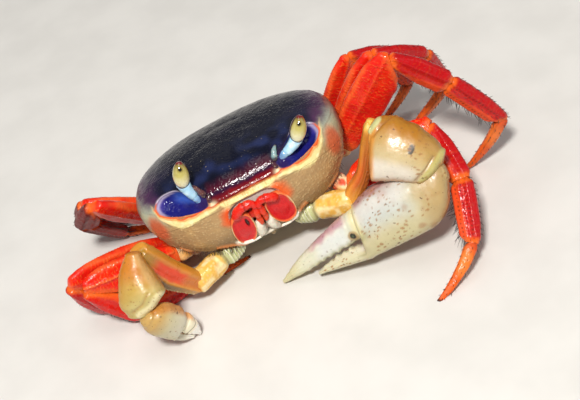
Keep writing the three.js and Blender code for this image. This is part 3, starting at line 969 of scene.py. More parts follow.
@dataclass
class Body:
    """The shell, the cheeks and mouth frame, the breastplate and the tail flap."""

    half_width: float = 25.0
    centre_y: float = -4.1
    centre_z: float = -1.0
    front: Triple = (15.3, 2.75, 2.5)
    back: Triple = (21.4, 2.5, 2.2)
    top: Triple = (6.2, 2.6, 2.2)
    bottom: Triple = (18.2, 2.15, 2.35)
    rim_front: Pair = (-19.0, -3.4)
    rim_rear: Pair = (17.0, -9.0)
    chin_rear: float = -8.6
    flank_edge: float = 28.4
    rows: int = 290
    cols: int = 430
    side_turn: float = 88.6
    crowding: float = 1.1
    seam: float = 0.03
    orbits: tuple[Orbit, ...] = (Orbit(Side.LEFT), Orbit(Side.RIGHT))
    grooves: tuple[tuple[float, float, tuple[Pair, ...]], ...] = (
        (0.10, 1.1, ((0, -17.5), (0, -9.0))),
        (0.11, 1.1, ((3.6, -6.5), (4.4, -1.5), (4.0, 4.0), (5.4, 8.5))),
        (0.07, 1.1, ((0, 4.6), (4.1, 4.0))),
        (0.06, 1.3, ((4.2, -2.2), (8.0, -4.2), (12.5, -7.5), (15.5, -10.5))),
    )
    chest_joints: tuple[float, ...] = (-7.2, -2.7, 2.1, 6.8, 11.2)
    face_rear: Pair = (-10.0, -5.0)
    cheek_grain: tuple[float, float, int] = (0.7, 0.40, 5)
    mouth_corners: tuple[tuple[str, tuple[Triple, Triple], float, float], ...] = (
        ("d9501f", ((-6.5, -18.9, -5.2), (-6.9, -18.8, -7.0)), 2.2, 0.8),
        ("dd5a22", ((6.6, -18.9, -5.0), (7.2, -18.7, -7.0)), 2.6, 0.85),
    )
    flap_mesh: tuple[int, int] = (120, 46)
    flap_arc: Pair = (232, 293)
    flap_rings: int = 6
    hollow_depth: float = 1.25
    hollow_rim: float = 0.3

    def skin(self, x: Array, angle: Array) -> Array:
        """Points of the smooth skin before its features.

        Args:
            x: places across the shell.
            angle: 0 at the front, a quarter turn at the top.

        Returns:
            Points in the shell's frame.
        """
        share = np.abs(x) / self.half_width

        def shrink(power: float) -> Array:
            """How much of a reach is left towards the sides."""
            return np.clip(1 - share**power, 0, 1) ** (1 / power)

        c, s = np.cos(angle), np.sin(angle)
        ahead = -self.front[0] * shrink(self.front[1]) * np.abs(c) ** (2 / self.front[2])
        behind = self.back[0] * shrink(self.back[1]) * np.abs(c) ** (2 / self.back[2])
        above = self.top[0] * shrink(self.top[1]) * np.abs(s) ** (2 / self.top[2])
        below = -self.bottom[0] * shrink(self.bottom[1]) * np.abs(s) ** (2 / self.bottom[2])
        y = self.centre_y + np.where(c > 0, ahead, behind)
        z = self.centre_z + np.where(s > 0, above, below)
        return np.stack(np.broadcast_arrays(x, y, z), axis=-1)

    def grid(self) -> Array:
        """The smooth skin as rings, closest together over the face.

        Returns:
            Points in the shell's frame, a row to each ring.
        """
        fine = np.linspace(0, TURN, FINE_STEPS + 1)
        line = self.skin(np.zeros_like(fine), fine)
        step = np.linalg.norm(np.diff(line, axis=0), axis=1)
        step = step * (1 + self.crowding * (1 - smooth(-15.5, -11.0, line[1:, 1])))
        run = np.concatenate([[0], np.cumsum(step)])
        angle = np.interp(np.arange(self.cols) / self.cols * run[-1], run, fine)
        x = self.half_width * np.sin(np.linspace(-self.side_turn, self.side_turn, self.rows) * DEG)
        return self.skin(x[:, None], angle[None, :])

    def rim_height(self, y: Array) -> Array:
        """How high the shell's lower rim lies."""
        (y0, z0), (y1, z1) = self.rim_front, self.rim_rear
        return z0 + (z1 - z0) * (y - y0) / (y1 - y0)

    @staticmethod
    def band_edges(ax: Array) -> tuple[Array, Array]:
        """Top and bottom of the pale band that runs under the orbits and over the mouth.

        Args:
            ax: distances from the midline.

        Returns:
            Its two heights at each.
        """
        spots = [0, 4, 5.8, 6.7, 8.6, 11, 13.7, 15.8, 17, 18.5, 19.6, 20.6, 25]
        top = [-1.45, -1.5, -1.6, -1.45, -1.25, -1.65, -1.95, -1.6, -1.0, -0.25, 0.75, 2.2, 2.2]
        low = [-3.8, -3.4, -3.7, -2.6, -2.8, -3.3, -3.9, -4.2, -3.6, -2.2, -0.9, 0.8, 1.2]
        return np.interp(ax, spots, top), np.interp(ax, spots, low)

    @staticmethod
    def cheek_edge(ax: Array) -> Array:
        """Lower edge of the cheeks, which carries the fringe.

        Args:
            ax: distances from the midline.

        Returns:
            Its height at each.
        """
        return np.interp(
            ax, [0, 8.5, 11, 14.5, 19, 21, 25], [-15.6, -15.5, -15.2, -13.6, -11.3, -9.3, -7.5]
        )

    @staticmethod
    def mouth_chart(points: Array) -> Array:
        """Place on the mouth frame: under 1 inside it, 1 at its edge.

        Args:
            points: in the shell's frame.

        Returns:
            One number for each point.
        """
        ax, z = np.abs(points[..., 0]), points[..., 2]
        half = 6.0 + 0.2 * np.clip(-z - 4, -2, 12)
        near = ((ax / half) ** 6 + (np.abs(z + 9.35) / 5.8) ** 5) ** (1 / 5.5)
        return np.where(points[..., 1] < -8, near, FAR)

    def ahead(self, y: Array) -> Array:
        """1 on the face, falling softly to 0 behind it."""
        return 1 - smooth(*self.face_rear, y)

    def shell_relief(self, base: Array) -> Array:
        """Clouds and grooves of the upper shell, and the beaded line along its side.

        Args:
            base: points of the smooth skin in the shell's frame.

        Returns:
            How far each point is raised.
        """
        x, y, z = parts(base)
        ax = np.abs(x)
        plan = np.stack([ax, y], axis=-1)
        upper = smooth(-0.5, 3.0, z)
        lift = 0.08 * cloud(base, 5.0, 3) * upper + 0.02 * cloud(base, 1.1, 4)
        for depth, width, way in self.grooves:
            lift -= upper * depth * bump(distance_to_path(plan, way), 0, width)
        lift += 0.22 * upper * bump(ax, 3.3, 2.0) * bump(y, -15.5, 2.4)
        side_line = bump(z, 1.9 - 0.05 * np.clip(y, -9, 20), 0.28) * smooth(19.5, 21.5, ax) * upper
        return lift + 0.16 * side_line * (0.6 + 0.4 * np.sin(y * TURN / 0.9))

    def face_relief(self, base: Array) -> Array:
        """The front edge, the step and ribbed band under it, the mouth frame and the cheeks.

        Args:
            base: points of the smooth skin in the shell's frame.

        Returns:
            How far each point is raised.
        """
        x, y, z = parts(base)
        ax, ahead = np.abs(x), self.ahead(y)
        middle = 1 - smooth(6.3, 7.4, ax)
        lift = 0.32 * middle * bump(z, -1.05, 0.38)
        lift -= 0.55 * middle * smooth(-1.45, -1.8, z) * smooth(-4.2, -3.6, z)
        ribs = np.sin(ax * TURN / 0.62 + 2 * cloud(base, 1.5, 7))
        top, low = self.band_edges(ax)
        in_band = smooth(low - 0.2, low + 0.2, z) * smooth(top + 0.1, top - 0.2, z) * ahead
        lift += 0.045 * ribs * in_band * middle + 0.16 * in_band * (1 - middle)
        lift += 0.55 * bump(ax, 8.0, 0.75) * bump(z, -1.15, 0.6) * ahead
        mouth = self.mouth_chart(base)
        lift -= (2.3 - 1.1 * smooth(-8.2, -6.0, z)) * smooth(1.0, 0.88, mouth)
        lift += 0.24 * bump(mouth, 1.05, 0.045)
        cheek = smooth(-2.6, -3.6, z) * smooth(1.08, 1.16, mouth) * ahead
        edge = self.cheek_edge(ax)
        lift += 0.12 * grains(base, *self.cheek_grain) * cheek * smooth(edge, edge + 1, z)
        lift += 0.22 * bump(z - edge, 0.25, 0.4) * ahead * smooth(1.02, 1.1, mouth)
        return lift - 1.1 * smooth(edge, edge - 1.1, z) * ahead

    def chest_relief(self, base: Array) -> Array:
        """The joints of the breastplate.

        Args:
            base: points of the smooth skin in the shell's frame.

        Returns:
            How far each point is raised, below 0 where it is sunk.
        """
        x, y, z = parts(base)
        ax = np.abs(x)
        under = smooth(-9.5, -12.5, z) * smooth(-10.0, -8.0, y)
        lift = -0.3 * under * bump(ax, 10.5 - 0.15 * np.clip(y, -8, 14), 0.5)
        for place in self.chest_joints:
            lift -= 0.32 * under * bump(y - 0.10 * ax, place, 0.42) * smooth(5.4, 6.4, ax)
        return lift

    def sculpt(self, base: Array, normal: Array, roots: Sequence["Root"]) -> Array:
        """Raises and sinks the smooth skin into grooves, rims, hollows and granules.

        Args:
            base: points of the smooth skin in the shell's frame.
            normal: outward directions there.
            roots: where limbs leave the body.

        Returns:
            The finished points in the shell's frame.
        """
        x, y, z = parts(base)
        lift = self.shell_relief(base) + self.face_relief(base) + self.chest_relief(base)
        points = base + normal * lift[..., None]
        for orbit in self.orbits:
            points += orbit.dig(base)
        # the sloping flank above the limbs
        extra = np.clip(np.abs(x) - z - self.flank_edge, 0, None)
        part = smooth(-11.0, -8.2, y) * smooth(0.0, -0.6, z - self.rim_height(y))
        points[..., 0] -= np.sign(x) * extra / 2 * part
        points[..., 2] += extra / 2 * part
        # hollows round the limbs
        world = STANCE.place(base)
        for root in roots:
            near = root.chart(world)
            points -= normal * (self.hollow_depth * smooth(1.55, 1.12, near))[..., None]
            points += normal * (self.hollow_rim * bump(near, 1.72, 0.16))[..., None]
        return points

    def paint_sides(self, paint: Paint, base: Array, spot: Array, patchy: Array) -> None:
        """Paints the cheeks, the shell's sides and the flanks behind them.

        Args:
            paint: the body's paint.
            base: points of the smooth skin in the shell's frame.
            spot: the same points, moved a little so that the edges of the colours wander.
            patchy: broad noise.
        """
        x, y, z = parts(spot)
        ax = np.abs(x)
        paint.coat("bd9b68", smooth(0.0, 0.8, patchy) * 0.5)
        paint.coat("7d6446", smooth(-8.5, -13.5, z + patchy) * 0.8)
        cheek = smooth(-2.6, -3.6, z) * self.ahead(y)
        paint.coat("e2cfa0", smooth(0.6, 0.95, grains(base, *self.cheek_grain)) * cheek * 0.28)
        side = smooth(17.8, 20.0, ax) * smooth(-3.4, -0.8, z)
        paint.coat("a9ab8b", side * 0.9)
        paint.coat("8fa39a", side * smooth(-0.5, 1.5, z) * 0.5)
        coral = np.sqrt(((ax - 21.5) / 2.2) ** 2 + ((y + 13.9) / 3.6) ** 2 + ((z + 3.2) / 3.7) ** 2)
        paint.coat("c4603c", (1 - smooth(0.55, 1.3, coral)) * 0.9)
        hem = smooth(21.5, 23.8, ax) * smooth(1.6, -0.2, z) * smooth(-11.5, -8.0, y)
        paint.coat("6d4348", hem * 0.85)
        rear = smooth(-9.0, -2.0, y) * smooth(-12.5, -9.5, z)
        paint.coat("8d4f3a", rear * 0.8)

    def paint_shell(self, paint: Paint, base: Array, spot: Array, patchy: Array) -> Array:
        """Paints the dark shell, purple at its edges, with bluish patches on its front slope that
        are partly a painted sheen, and dark red over the mouth.

        Args:
            paint: the body's paint.
            base: points of the smooth skin in the shell's frame.
            spot: the same points, moved a little so that the edges of the colours wander.
            patchy: broad noise.

        Returns:
            How dark a shell each point has.
        """
        x, y, z = parts(spot)
        ax = np.abs(x)
        front_base = np.interp(ax, [0, 6.9, 7.6, 8.6, 12, 18.3, 19.6, 25],
                               [-1.3, -1.35, -0.9, 0.2, 0.6, 1.2, 2.0, 2.1])
        rear_base = np.interp(y, [-10, 0, 8, 14, 18], [2.1, 1.8, 0.6, -0.8, -1.8])
        height = z - (front_base + (rear_base - front_base) * smooth(-12, -6, y))
        spread = 0.22 + 0.6 * smooth(16.0, 21.0, ax)
        dark = smooth(-spread, spread, height)
        upper = smooth(0.2, 2.2, height + 0.6 * patchy) * smooth(26, 18, ax + 0.2 * z)
        # bluish patches on the front slope: partly the shell's own blue, partly a painted blue
        # sheen of the wet shell
        blue_and_sheen = bump(y, -14.5, 4.5) * smooth(1.5, 4.2, z) * smooth(0.0, 0.7, patchy)
        paint.coat("5a3550", smooth(-1.6, 0.1, height) * 0.35 * smooth(17, 20, ax))
        paint.coat("4b2b4a", dark)
        paint.coat("231c3a", dark * upper)
        paint.coat("0f1120", dark * smooth(0.8, 3.4, height + 0.8 * cloud(base, 5.0, 44)))
        paint.coat("27315c", dark * blue_and_sheen * 0.7)
        nose = (1 - smooth(7.0, 8.4, ax)) * self.ahead(y)
        paint.coat("4a0f22", dark * nose * smooth(3.2, 1.2, z))
        paint.coat("741016", dark * nose * smooth(1.0, -0.9, z + 0.4 * patchy))
        lobe = bump(z, 0.7 + 0.4 * cloud(base, 2.0, 46), 0.5) * nose
        paint.coat("1c1230", dark * lobe * 0.8)
        return dark

    def paint_band(self, paint: Paint, base: Array, spot: Array, patchy: Array) -> Array:
        """Paints the pale band, its ribs and the red line along it.

        Args:
            paint: the body's paint.
            base: points of the smooth skin in the shell's frame.
            spot: the same points, moved a little so that the edges of the colours wander.
            patchy: broad noise.

        Returns:
            How far each point belongs to the band.
        """
        x, y, z = parts(spot)
        ax, ahead = np.abs(x), self.ahead(y)
        top, low = self.band_edges(ax)
        band = smooth(low - 0.4, low + 0.4, z) * smooth(top + 0.12, top - 0.12, z) * ahead
        band *= smooth(20.8, 18.8, ax) * 0.6 + 0.4 * smooth(21.2, 20.2, ax)
        ribs = (1 - smooth(6.4, 7.2, ax)) * smooth(0.55, 1.0, np.sin(ax * 10.1 + 2 * patchy))
        end = smooth(20.6, 19.8, ax)
        paint.coat("ebdc9a", band)
        paint.coat("fff3c0", band * smooth(0.1, 0.8, cloud(base, 1.0, 47)) * 0.7)
        paint.coat("c98a3e", band * ribs * 0.45)
        paint.coat("f3eac0", bump(ax, 8.0, 0.8) * bump(z, -1.2, 0.6) * ahead)
        paint.coat("dd4a12", bump(z, top - 0.02, 0.22) * ahead * end)
        paint.coat("e8862c", bump(z, top - 0.42, 0.2) * ahead * end * 0.7)
        return band

    def paint_mouth(self, paint: Paint, spot: Array) -> None:
        """Paints the mouth frame and the corners above it.

        Args:
            paint: the body's paint.
            spot: points in the shell's frame.
        """
        x, _, z = parts(spot)
        mouth = self.mouth_chart(spot)
        high = smooth(-8.2, -6.0, z) * smooth(-3.5, -4.2, z) * smooth(4.5, 5.5, np.abs(x))
        paint.coat("d9501f", bump(mouth, 1.06, 0.06) * high)
        for colour, path, width, cover in self.mouth_corners:
            paint.coat(colour, smooth(width, 0.4, distance_to_path(spot, path)) * cover)
        inside = smooth(1.0, 0.95, mouth)
        paint.coat("4a2a1c", inside)
        paint.coat("9c2412", inside * smooth(-12.5, -10.5, z))
        paint.coat("c4b9ae", smooth(1.0, 0.97, mouth) * smooth(-8.0, -6.4, z))
        paint.coat("e9e2cf", bump(mouth, 1.0, 0.05) * smooth(-12.6, -13.8, z))

    def paint_chest(self, paint: Paint, spot: Array, patchy: Array) -> None:
        """Paints the breastplate.

        Args:
            paint: the body's paint.
            spot: points in the shell's frame.
            patchy: broad noise.
        """
        x, y, z = parts(spot)
        edge = self.cheek_edge(np.abs(x))
        chest = smooth(edge + 0.1, edge - 0.5, z)
        chest = np.where(y > self.chin_rear, smooth(-9.0, -11.0, z), chest)
        paint.coat("c9bd97", chest)
        paint.coat("b3ab84", chest * smooth(0.1, 0.8, patchy) * 0.6)
        paint.coat("a4321c", chest * bump(x, -0.6, 1.6) * bump(y, -9.0, 3.2) * 0.75)

    def colours(self, base: Array, roots: Sequence["Root"]) -> dict[str, Array]:
        """Paints the skin.

        Args:
            base: points of the smooth skin in the shell's frame.
            roots: where limbs leave the body.

        Returns:
            The fields that the shell finish reads.
        """
        drift = drift_of(base, 1.4, 20) * 0.28 + drift_of(base, 0.45, 30) * 0.08
        spot, patchy = base + drift, cloud(base, 2.6, 40)
        paint = Paint(base.shape[:-1], "aa8a60")
        self.paint_sides(paint, base, spot, patchy)
        dark = self.paint_shell(paint, base, spot, patchy)
        band = self.paint_band(paint, base, spot, patchy)
        hollow = np.zeros(base.shape[:-1])
        for orbit in self.orbits:
            hollow = np.maximum(hollow, orbit.dress(paint, base + drift * 0.4))
        self.paint_mouth(paint, spot)
        self.paint_chest(paint, spot, patchy)
        world = STANCE.place(base)
        for root in roots:
            near = root.chart(world)
            paint.coat("dd7a35", smooth(2.3, 1.5, near) * 0.7)
            paint.coat("8c2a14", smooth(1.35, 1.1, near) * 0.6)
        wet = 0.25 + 0.2 * cloud(base, 1.2, 60)
        wet += dark * (0.45 + 0.3 * cloud(base, 0.9, 61)) + 0.9 * hollow + 0.2 * band
        mark = 0.2 + dark * 0.5 * smooth(0.1, 0.5, cloud(base, 6.0, 62)) - hollow - band
        fields = {"wet": np.clip(wet, 0, 1), "mark": np.clip(mark, 0, 1)}
        return {"spot": base, "paint": paint.rgb, **fields}

    def cut(self, normal: Sequence[float], through: Sequence[float], inset: float) -> Plane:
        """A plane given in the shell's frame, moved in by a seam, in the part's own frame."""
        way = STANCE.matrix @ unit(normal)
        return Plane(way, float(way @ STANCE.place(np.array(through)))).moved(inset)

    def build(self, finishes: Finishes, roots: Sequence["Root"]) -> None:
        """Makes the shell, the face and the breastplate from one skin, then the flap.

        Args:
            finishes: the crab's materials.
            roots: where limbs leave the body.
        """
        base = self.grid()
        points = self.sculpt(base, tube_normals(base), roots)
        fields = {key: with_ends(values) for key, values in self.colours(base, roots).items()}
        world = STANCE.place(with_ends(points))
        world[:, 2] = np.maximum(world[:, 2], FLOOR_LEVEL)
        faces = tube_faces(self.rows, self.cols)
        (y0, z0), (y1, z1) = self.rim_front, self.rim_rear
        up = (0, -(z1 - z0) / (y1 - y0), 1)
        rim = self.cut(up, (0, y0, z0), self.seam)
        under = self.cut([-k for k in up], (0, y0, z0), self.seam)
        chin_front = self.cut((0, -1, 0), (0, self.chin_rear, 0), self.seam)
        chin_rear = self.cut((0, 1, 0), (0, self.chin_rear, 0), self.seam)
        plans = (
            ("shell_top", "shell", "carapace", [rim]),
            ("face_and_cheeks", "cheeks", "face", [under, chin_front]),
            ("chest_plate", "underside", "breastplate", [under, chin_rear]),
        )
        for name, slot, node, cuts in plans:
            piece = make_piece(name, world, faces, fields, finishes.shell)
            trim(piece, cuts)
            hand_over(piece, slot, node)
        self.build_flap(finishes)

    def build_flap(self, finishes: Finishes) -> None:
        """Makes the tail flap, six rings of shell folded under the body.

        Args:
            finishes: the crab's materials.
        """
        rows, cols = self.flap_mesh
        angle = np.linspace(*self.flap_arc, rows)[:, None] * DEG
        ring = np.linspace(0, TURN, cols, endpoint=False)[None, :]
        share, inner = np.cos(ring), np.sin(ring)
        mid = self.skin(np.zeros((rows, 1)), angle)[..., 1]
        half = np.interp(mid, [-7, -4.5, 2, 9, 18], [0.5, 1.9, 2.9, 4.2, 5.2])
        x = signed_power(share, 0.75) * half
        base = self.skin(x, np.broadcast_to(angle, x.shape))
        out = unit(base - np.array([0, self.centre_y, self.centre_z]))
        run = np.linspace(0, 1, rows)[:, None]
        tail = smooth(0, 0.06, run) * smooth(1, 0.94, run)
        rings = np.abs(np.sin((base[..., 1] + 7) / 24 * self.flap_rings * math.pi))
        rise = 0.42 * np.clip(-inner, 0, 1) ** 0.6 * tail - 0.8 * np.clip(inner, 0, 1) ** 0.6
        rise -= 0.3 * (1 - smooth(0, 0.35, rings)) * np.clip(-inner, 0, 1)
        rise += 0.03 * cloud(base, 0.7, 71)
        points = base + out * rise[..., None]
        paint = Paint(x.shape, "d2c6a0").coat("a87a52", (1 - smooth(0.0, 0.4, rings)) * 0.7)
        paint.coat("b9ad86", smooth(0, 0.8, cloud(base, 2.0, 72)) * 0.6)
        piece = tube_piece(
            "tail_flap", STANCE.place(points), base, paint, 0.35, 0.0, finishes.shell
        )
        hand_over(piece, "underside", "abdomen")


# ------------------------------------------------------------------ limbs


def axes_at(along: Array, broad: Array) -> Array:
    """Three rows: along a piece, through it, and towards its broad side.

    Args:
        along: its direction.
        broad: a direction on its broad side.

    Returns:
        The three directions.
    """
    x = unit(along)
    z = unit(np.asarray(broad, float) - x * np.dot(broad, x))
    return np.stack([x, np.cross(z, x), z])


@dataclass(frozen=True)
class Root:
    """Where a limb leaves the body, for the hollow round it."""

    origin: Array
    axes: Array
    half: float
    thick: float
    reach: float
    power: float = 2.4
    behind: float = 3.5

    def chart(self, points: Array) -> Array:
        """How far points are from the limb, 1 at its skin.

        Args:
            points: in the part's own frame.

        Returns:
            One number for each point.
        """
        local = (points - self.origin) @ self.axes.T
        near = (np.abs(local[..., 2]) / self.half) ** self.power
        near += (np.abs(local[..., 1]) / self.thick) ** self.power
        beside = (local[..., 0] > -self.behind) & (local[..., 0] < self.reach)
        return np.where(beside, near ** (1 / self.power), FAR)


CAP_RINGS = 8
CAP_TURN = 86 * DEG


@dataclass
class LimbSkin:
    """The smooth skin of one limb piece, ready for relief, paint and cutting."""

    origin: Array
    axes: Array
    local: Array
    angle: Array

    @classmethod
    def from_rings(cls, origin: Array, axes: Array, rings: Array, cols: int, pitch: float,
                   caps: Pair, power: float = 2.4) -> "LimbSkin":
        """Draws the skin through a ring table.

        Args:
            origin: where the piece starts.
            axes: its directions, from axes_at.
            rings: rows of place along, rise, half width and half thickness.
            cols: points round each ring.
            pitch: space between rings.
            caps: how far each rounded end runs past the table.
            power: how square the cross-section is.

        Returns:
            The skin.
        """
        rings = np.asarray(rings, float)
        start, end = rings[0, 0], rings[-1, 0]
        body = np.linspace(start, end, max(8, int((end - start) / pitch)))
        table = curve_through(rings[:, 0], rings[:, 1:], body)
        steps = np.sin(np.linspace(0.0, 1.0, CAP_RINGS + 1)[1:] * CAP_TURN)
        rows = []
        for place, ring, reach, way in (
            (start, table[0], caps[0], -1), (end, table[-1], caps[1], 1)
        ):
            shrink = np.clip(1 - steps**2.5, 0, 1) ** 0.5
            cap = np.stack(
                [
                    place + way * reach * steps, np.full_like(steps, ring[0]), ring[1] * shrink,
                    ring[2] * shrink,
                ],
                -1,
            )
            rows.append(cap[::-1] if way < 0 else cap)
        middle = np.concatenate([body[:, None], table], axis=1)
        every = np.concatenate([rows[0], middle, rows[1]])
        angle = section_angles(cols, power)
        c, s = signed_power(np.cos(angle), 2 / power), signed_power(np.sin(angle), 2 / power)
        x = np.broadcast_to(every[:, :1], (len(every), cols))
        local = np.stack([x, every[:, 3:4] * s[None], every[:, 1:2] + every[:, 2:3] * c[None]], -1)
        return cls(np.asarray(origin, float), axes, local, np.broadcast_to(angle, x.shape))

    def world(self, local: Array) -> Array:
        """Points of the piece in the part's own frame."""
        return local @ self.axes + self.origin

    def finish(
        self,
        name: str,
        lift: Array,
        looks: tuple[Paint, Array, Array | float],
        material: Material,
        cuts: Sequence[Plane] = (),
    ) -> tuple[Piece, Array, Array]:
        """Raises the relief, makes the mesh and cuts it.

        Args:
            name: the piece's name.
            lift: how far each point is raised.
            looks: its paint, and how wet and how marked it is.
            material: the finish.
            cuts: planes whose far side is kept.

        Returns:
            The piece, with its points and outward directions in the part's own frame.
        """
        points = self.world(self.local)
        normal = tube_normals(points)
        points = points + normal * lift[..., None]
        points[..., 2] = np.maximum(points[..., 2], FLOOR_LEVEL)
        return tube_piece(name, points, self.local, *looks, material, cuts), points, normal


@dataclass
class Bristles:
    """Stiff hairs gathered from the pieces of one limb, made as one mesh."""

    name: str
    roots: list[Array] = field(default_factory=list)
    ways: list[Array] = field(default_factory=list)
    bends: list[Array] = field(default_factory=list)
    sizes: list[Pair] = field(default_factory=list)
    patches: list[Pair] = field(default_factory=list)
    sunk: float = 0.12
    sides: int = 4
    patch_half: float = 0.0015
    stations: tuple[Pair, ...] = ((0.0, 1.0), (0.4, 0.85), (0.75, 0.55))

    def row(
        self,
        points: Array,
        normal: Array,
        col: float,
        span: Pair,
        count: int,
        size: Pair,
        lean: Array,
        patch: Pair,
        rng: np.random.Generator,
        stray: float,
    ) -> None:
        """Adds a row of hairs along a limb piece.

        Args:
            points: the piece's points, a row to each ring.
            normal: outward directions there.
            col: place round the ring, from 0 to 1.
            span: where the row starts and ends along the piece, from 0 to 1.
            count: how many hairs.
            size: how long they are, and their radius at the root.
            lean: the way the hairs are combed.
            patch: corner of the piece's own patch on the unwrapped skin.
            rng: the source of chance.
            stray: how far hairs stray from the comb.
        """
        rows, cols = points.shape[:2]
        for k in range(count):
            part = (
                span[0] + (span[1] - span[0]) * (k + 0.6 * (rng.random() - 0.5)) / max(1, count - 1)
            )
            part = float(np.clip(part, 0.02, 0.98))
            i = int(part * (rows - 1))
            j = int(round(col * cols + rng.normal(0, 0.5))) % cols
            way = unit(normal[i, j] + lean + rng.normal(0, stray, 3))
            self.roots.append(points[i, j] - normal[i, j] * self.sunk)
            self.ways.append(way)
            self.bends.append(unit(lean + rng.normal(0, 0.2, 3)) * rng.uniform(0.05, 0.25))
            self.sizes.append((size[0] * rng.uniform(0.65, 1.15), size[1] * rng.uniform(0.8, 1.15)))
            self.patches.append((patch[0] + 0.1 * part, patch[1] + 0.1 * col))

    def build(self, material: Material, slot: str, colour: str = "1d1210") -> None:
        """Makes the hairs as thin tapering rods on one mesh.

        Args:
            material: their finish.
            slot: passed on to hand_over.
            colour: their main colour.
        """
        if not self.roots:
            return
        sides, half, stations = self.sides, self.patch_half, self.stations
        points: list[Array] = []
        faces: list[tuple[int, ...]] = []
        corner_uv: list[Pair] = []
        for root, way, curl, (length, radius), (pu, pv) in zip(
            self.roots, self.ways, self.bends, self.sizes, self.patches
        ):
            across = unit(np.cross(way, (0.3, 0.5, 0.81)))
            other = np.cross(way, across)
            first = len(points)
            for share, wide in stations:
                middle = root + way * length * share + curl * length * share**2
                for k in range(sides):
                    a = TURN * k / sides
                    points.append(
                        middle + radius * wide * (across * math.cos(a) + other * math.sin(a))
                    )
                    corner_uv.append(
                        (pu + half * math.cos(a), pv + half * (share + math.sin(a)) / 2)
                    )
            points.append(root + way * length + curl * length)
            corner_uv.append((pu, pv + half))
            for ring in range(len(stations) - 1):
                for k in range(sides):
                    a, b = first + ring * sides + k, first + ring * sides + (k + 1) % sides
                    faces.append((a, b, b + sides, a + sides))
            top = first + (len(stations) - 1) * sides
            tip = first + len(stations) * sides
            faces += [(top + k, top + (k + 1) % sides, tip) for k in range(sides)]
            faces.append(tuple(first + k for k in reversed(range(sides))))
        cloud_points = np.array(points)
        cloud_points[:, 2] = np.maximum(cloud_points[:, 2], FLOOR_LEVEL)
        paint = Paint((len(points),), colour).coat(
            "6b4a30", smooth(0.2, 0.9, cloud(cloud_points, 2.0, 90)) * 0.6
        )
        fields = {"spot": cloud_points, "paint": paint.rgb, "wet": np.full(len(points), 0.4),
                  "mark": np.zeros(len(points))}
        piece = make_piece(self.name, cloud_points, faces, fields, material)
        layer = piece.data.uv_layers.new(name="OFBake")
        uv = np.array(corner_uv)[[loop.vertex_index for loop in piece.data.loops]]
        layer.data.foreach_set("uv", uv.astype(np.float32).ravel())
        hand_over(piece, slot)


# for each piece of a walking leg, the points round it and the space between its rings
SEGMENT_MESH = {
    "base": (64, 0.2), "merus": (88, 0.24), "carpus": (72, 0.22), "propodus": (72, 0.22),
    "dactyl": (48, 0.2),
}
SEGMENTS = tuple(SEGMENT_MESH)
# rows of hairs: places round the piece (None is its front), span along it, how many,
# their length and radius, and how far they stray from the comb
HAIR_ROWS = {
    "merus": (((0.46,), (0.3, 0.92), 12, 0.9, 0.055, 0.25),),
    "carpus": (((0.5,), (0.3, 0.9), 9, 1.5, 0.07, 0.35), ((0.02,), (0.2, 0.9), 8, 0.7, 0.06, 0.25)),
    "propodus": (((0.44, 0.5, 0.56), (0.15, 0.95), 17, 2.3, 0.075, 0.35),
                 ((0.02, 0.98, None), (0.1, 0.95), 13, 0.9, 0.07, 0.25)),
    "dactyl": (((0.0, 0.17, 0.33, 0.5, 0.67, 0.83), (0.12, 0.85), 9, 0.75, 0.085, 0.12),),
}


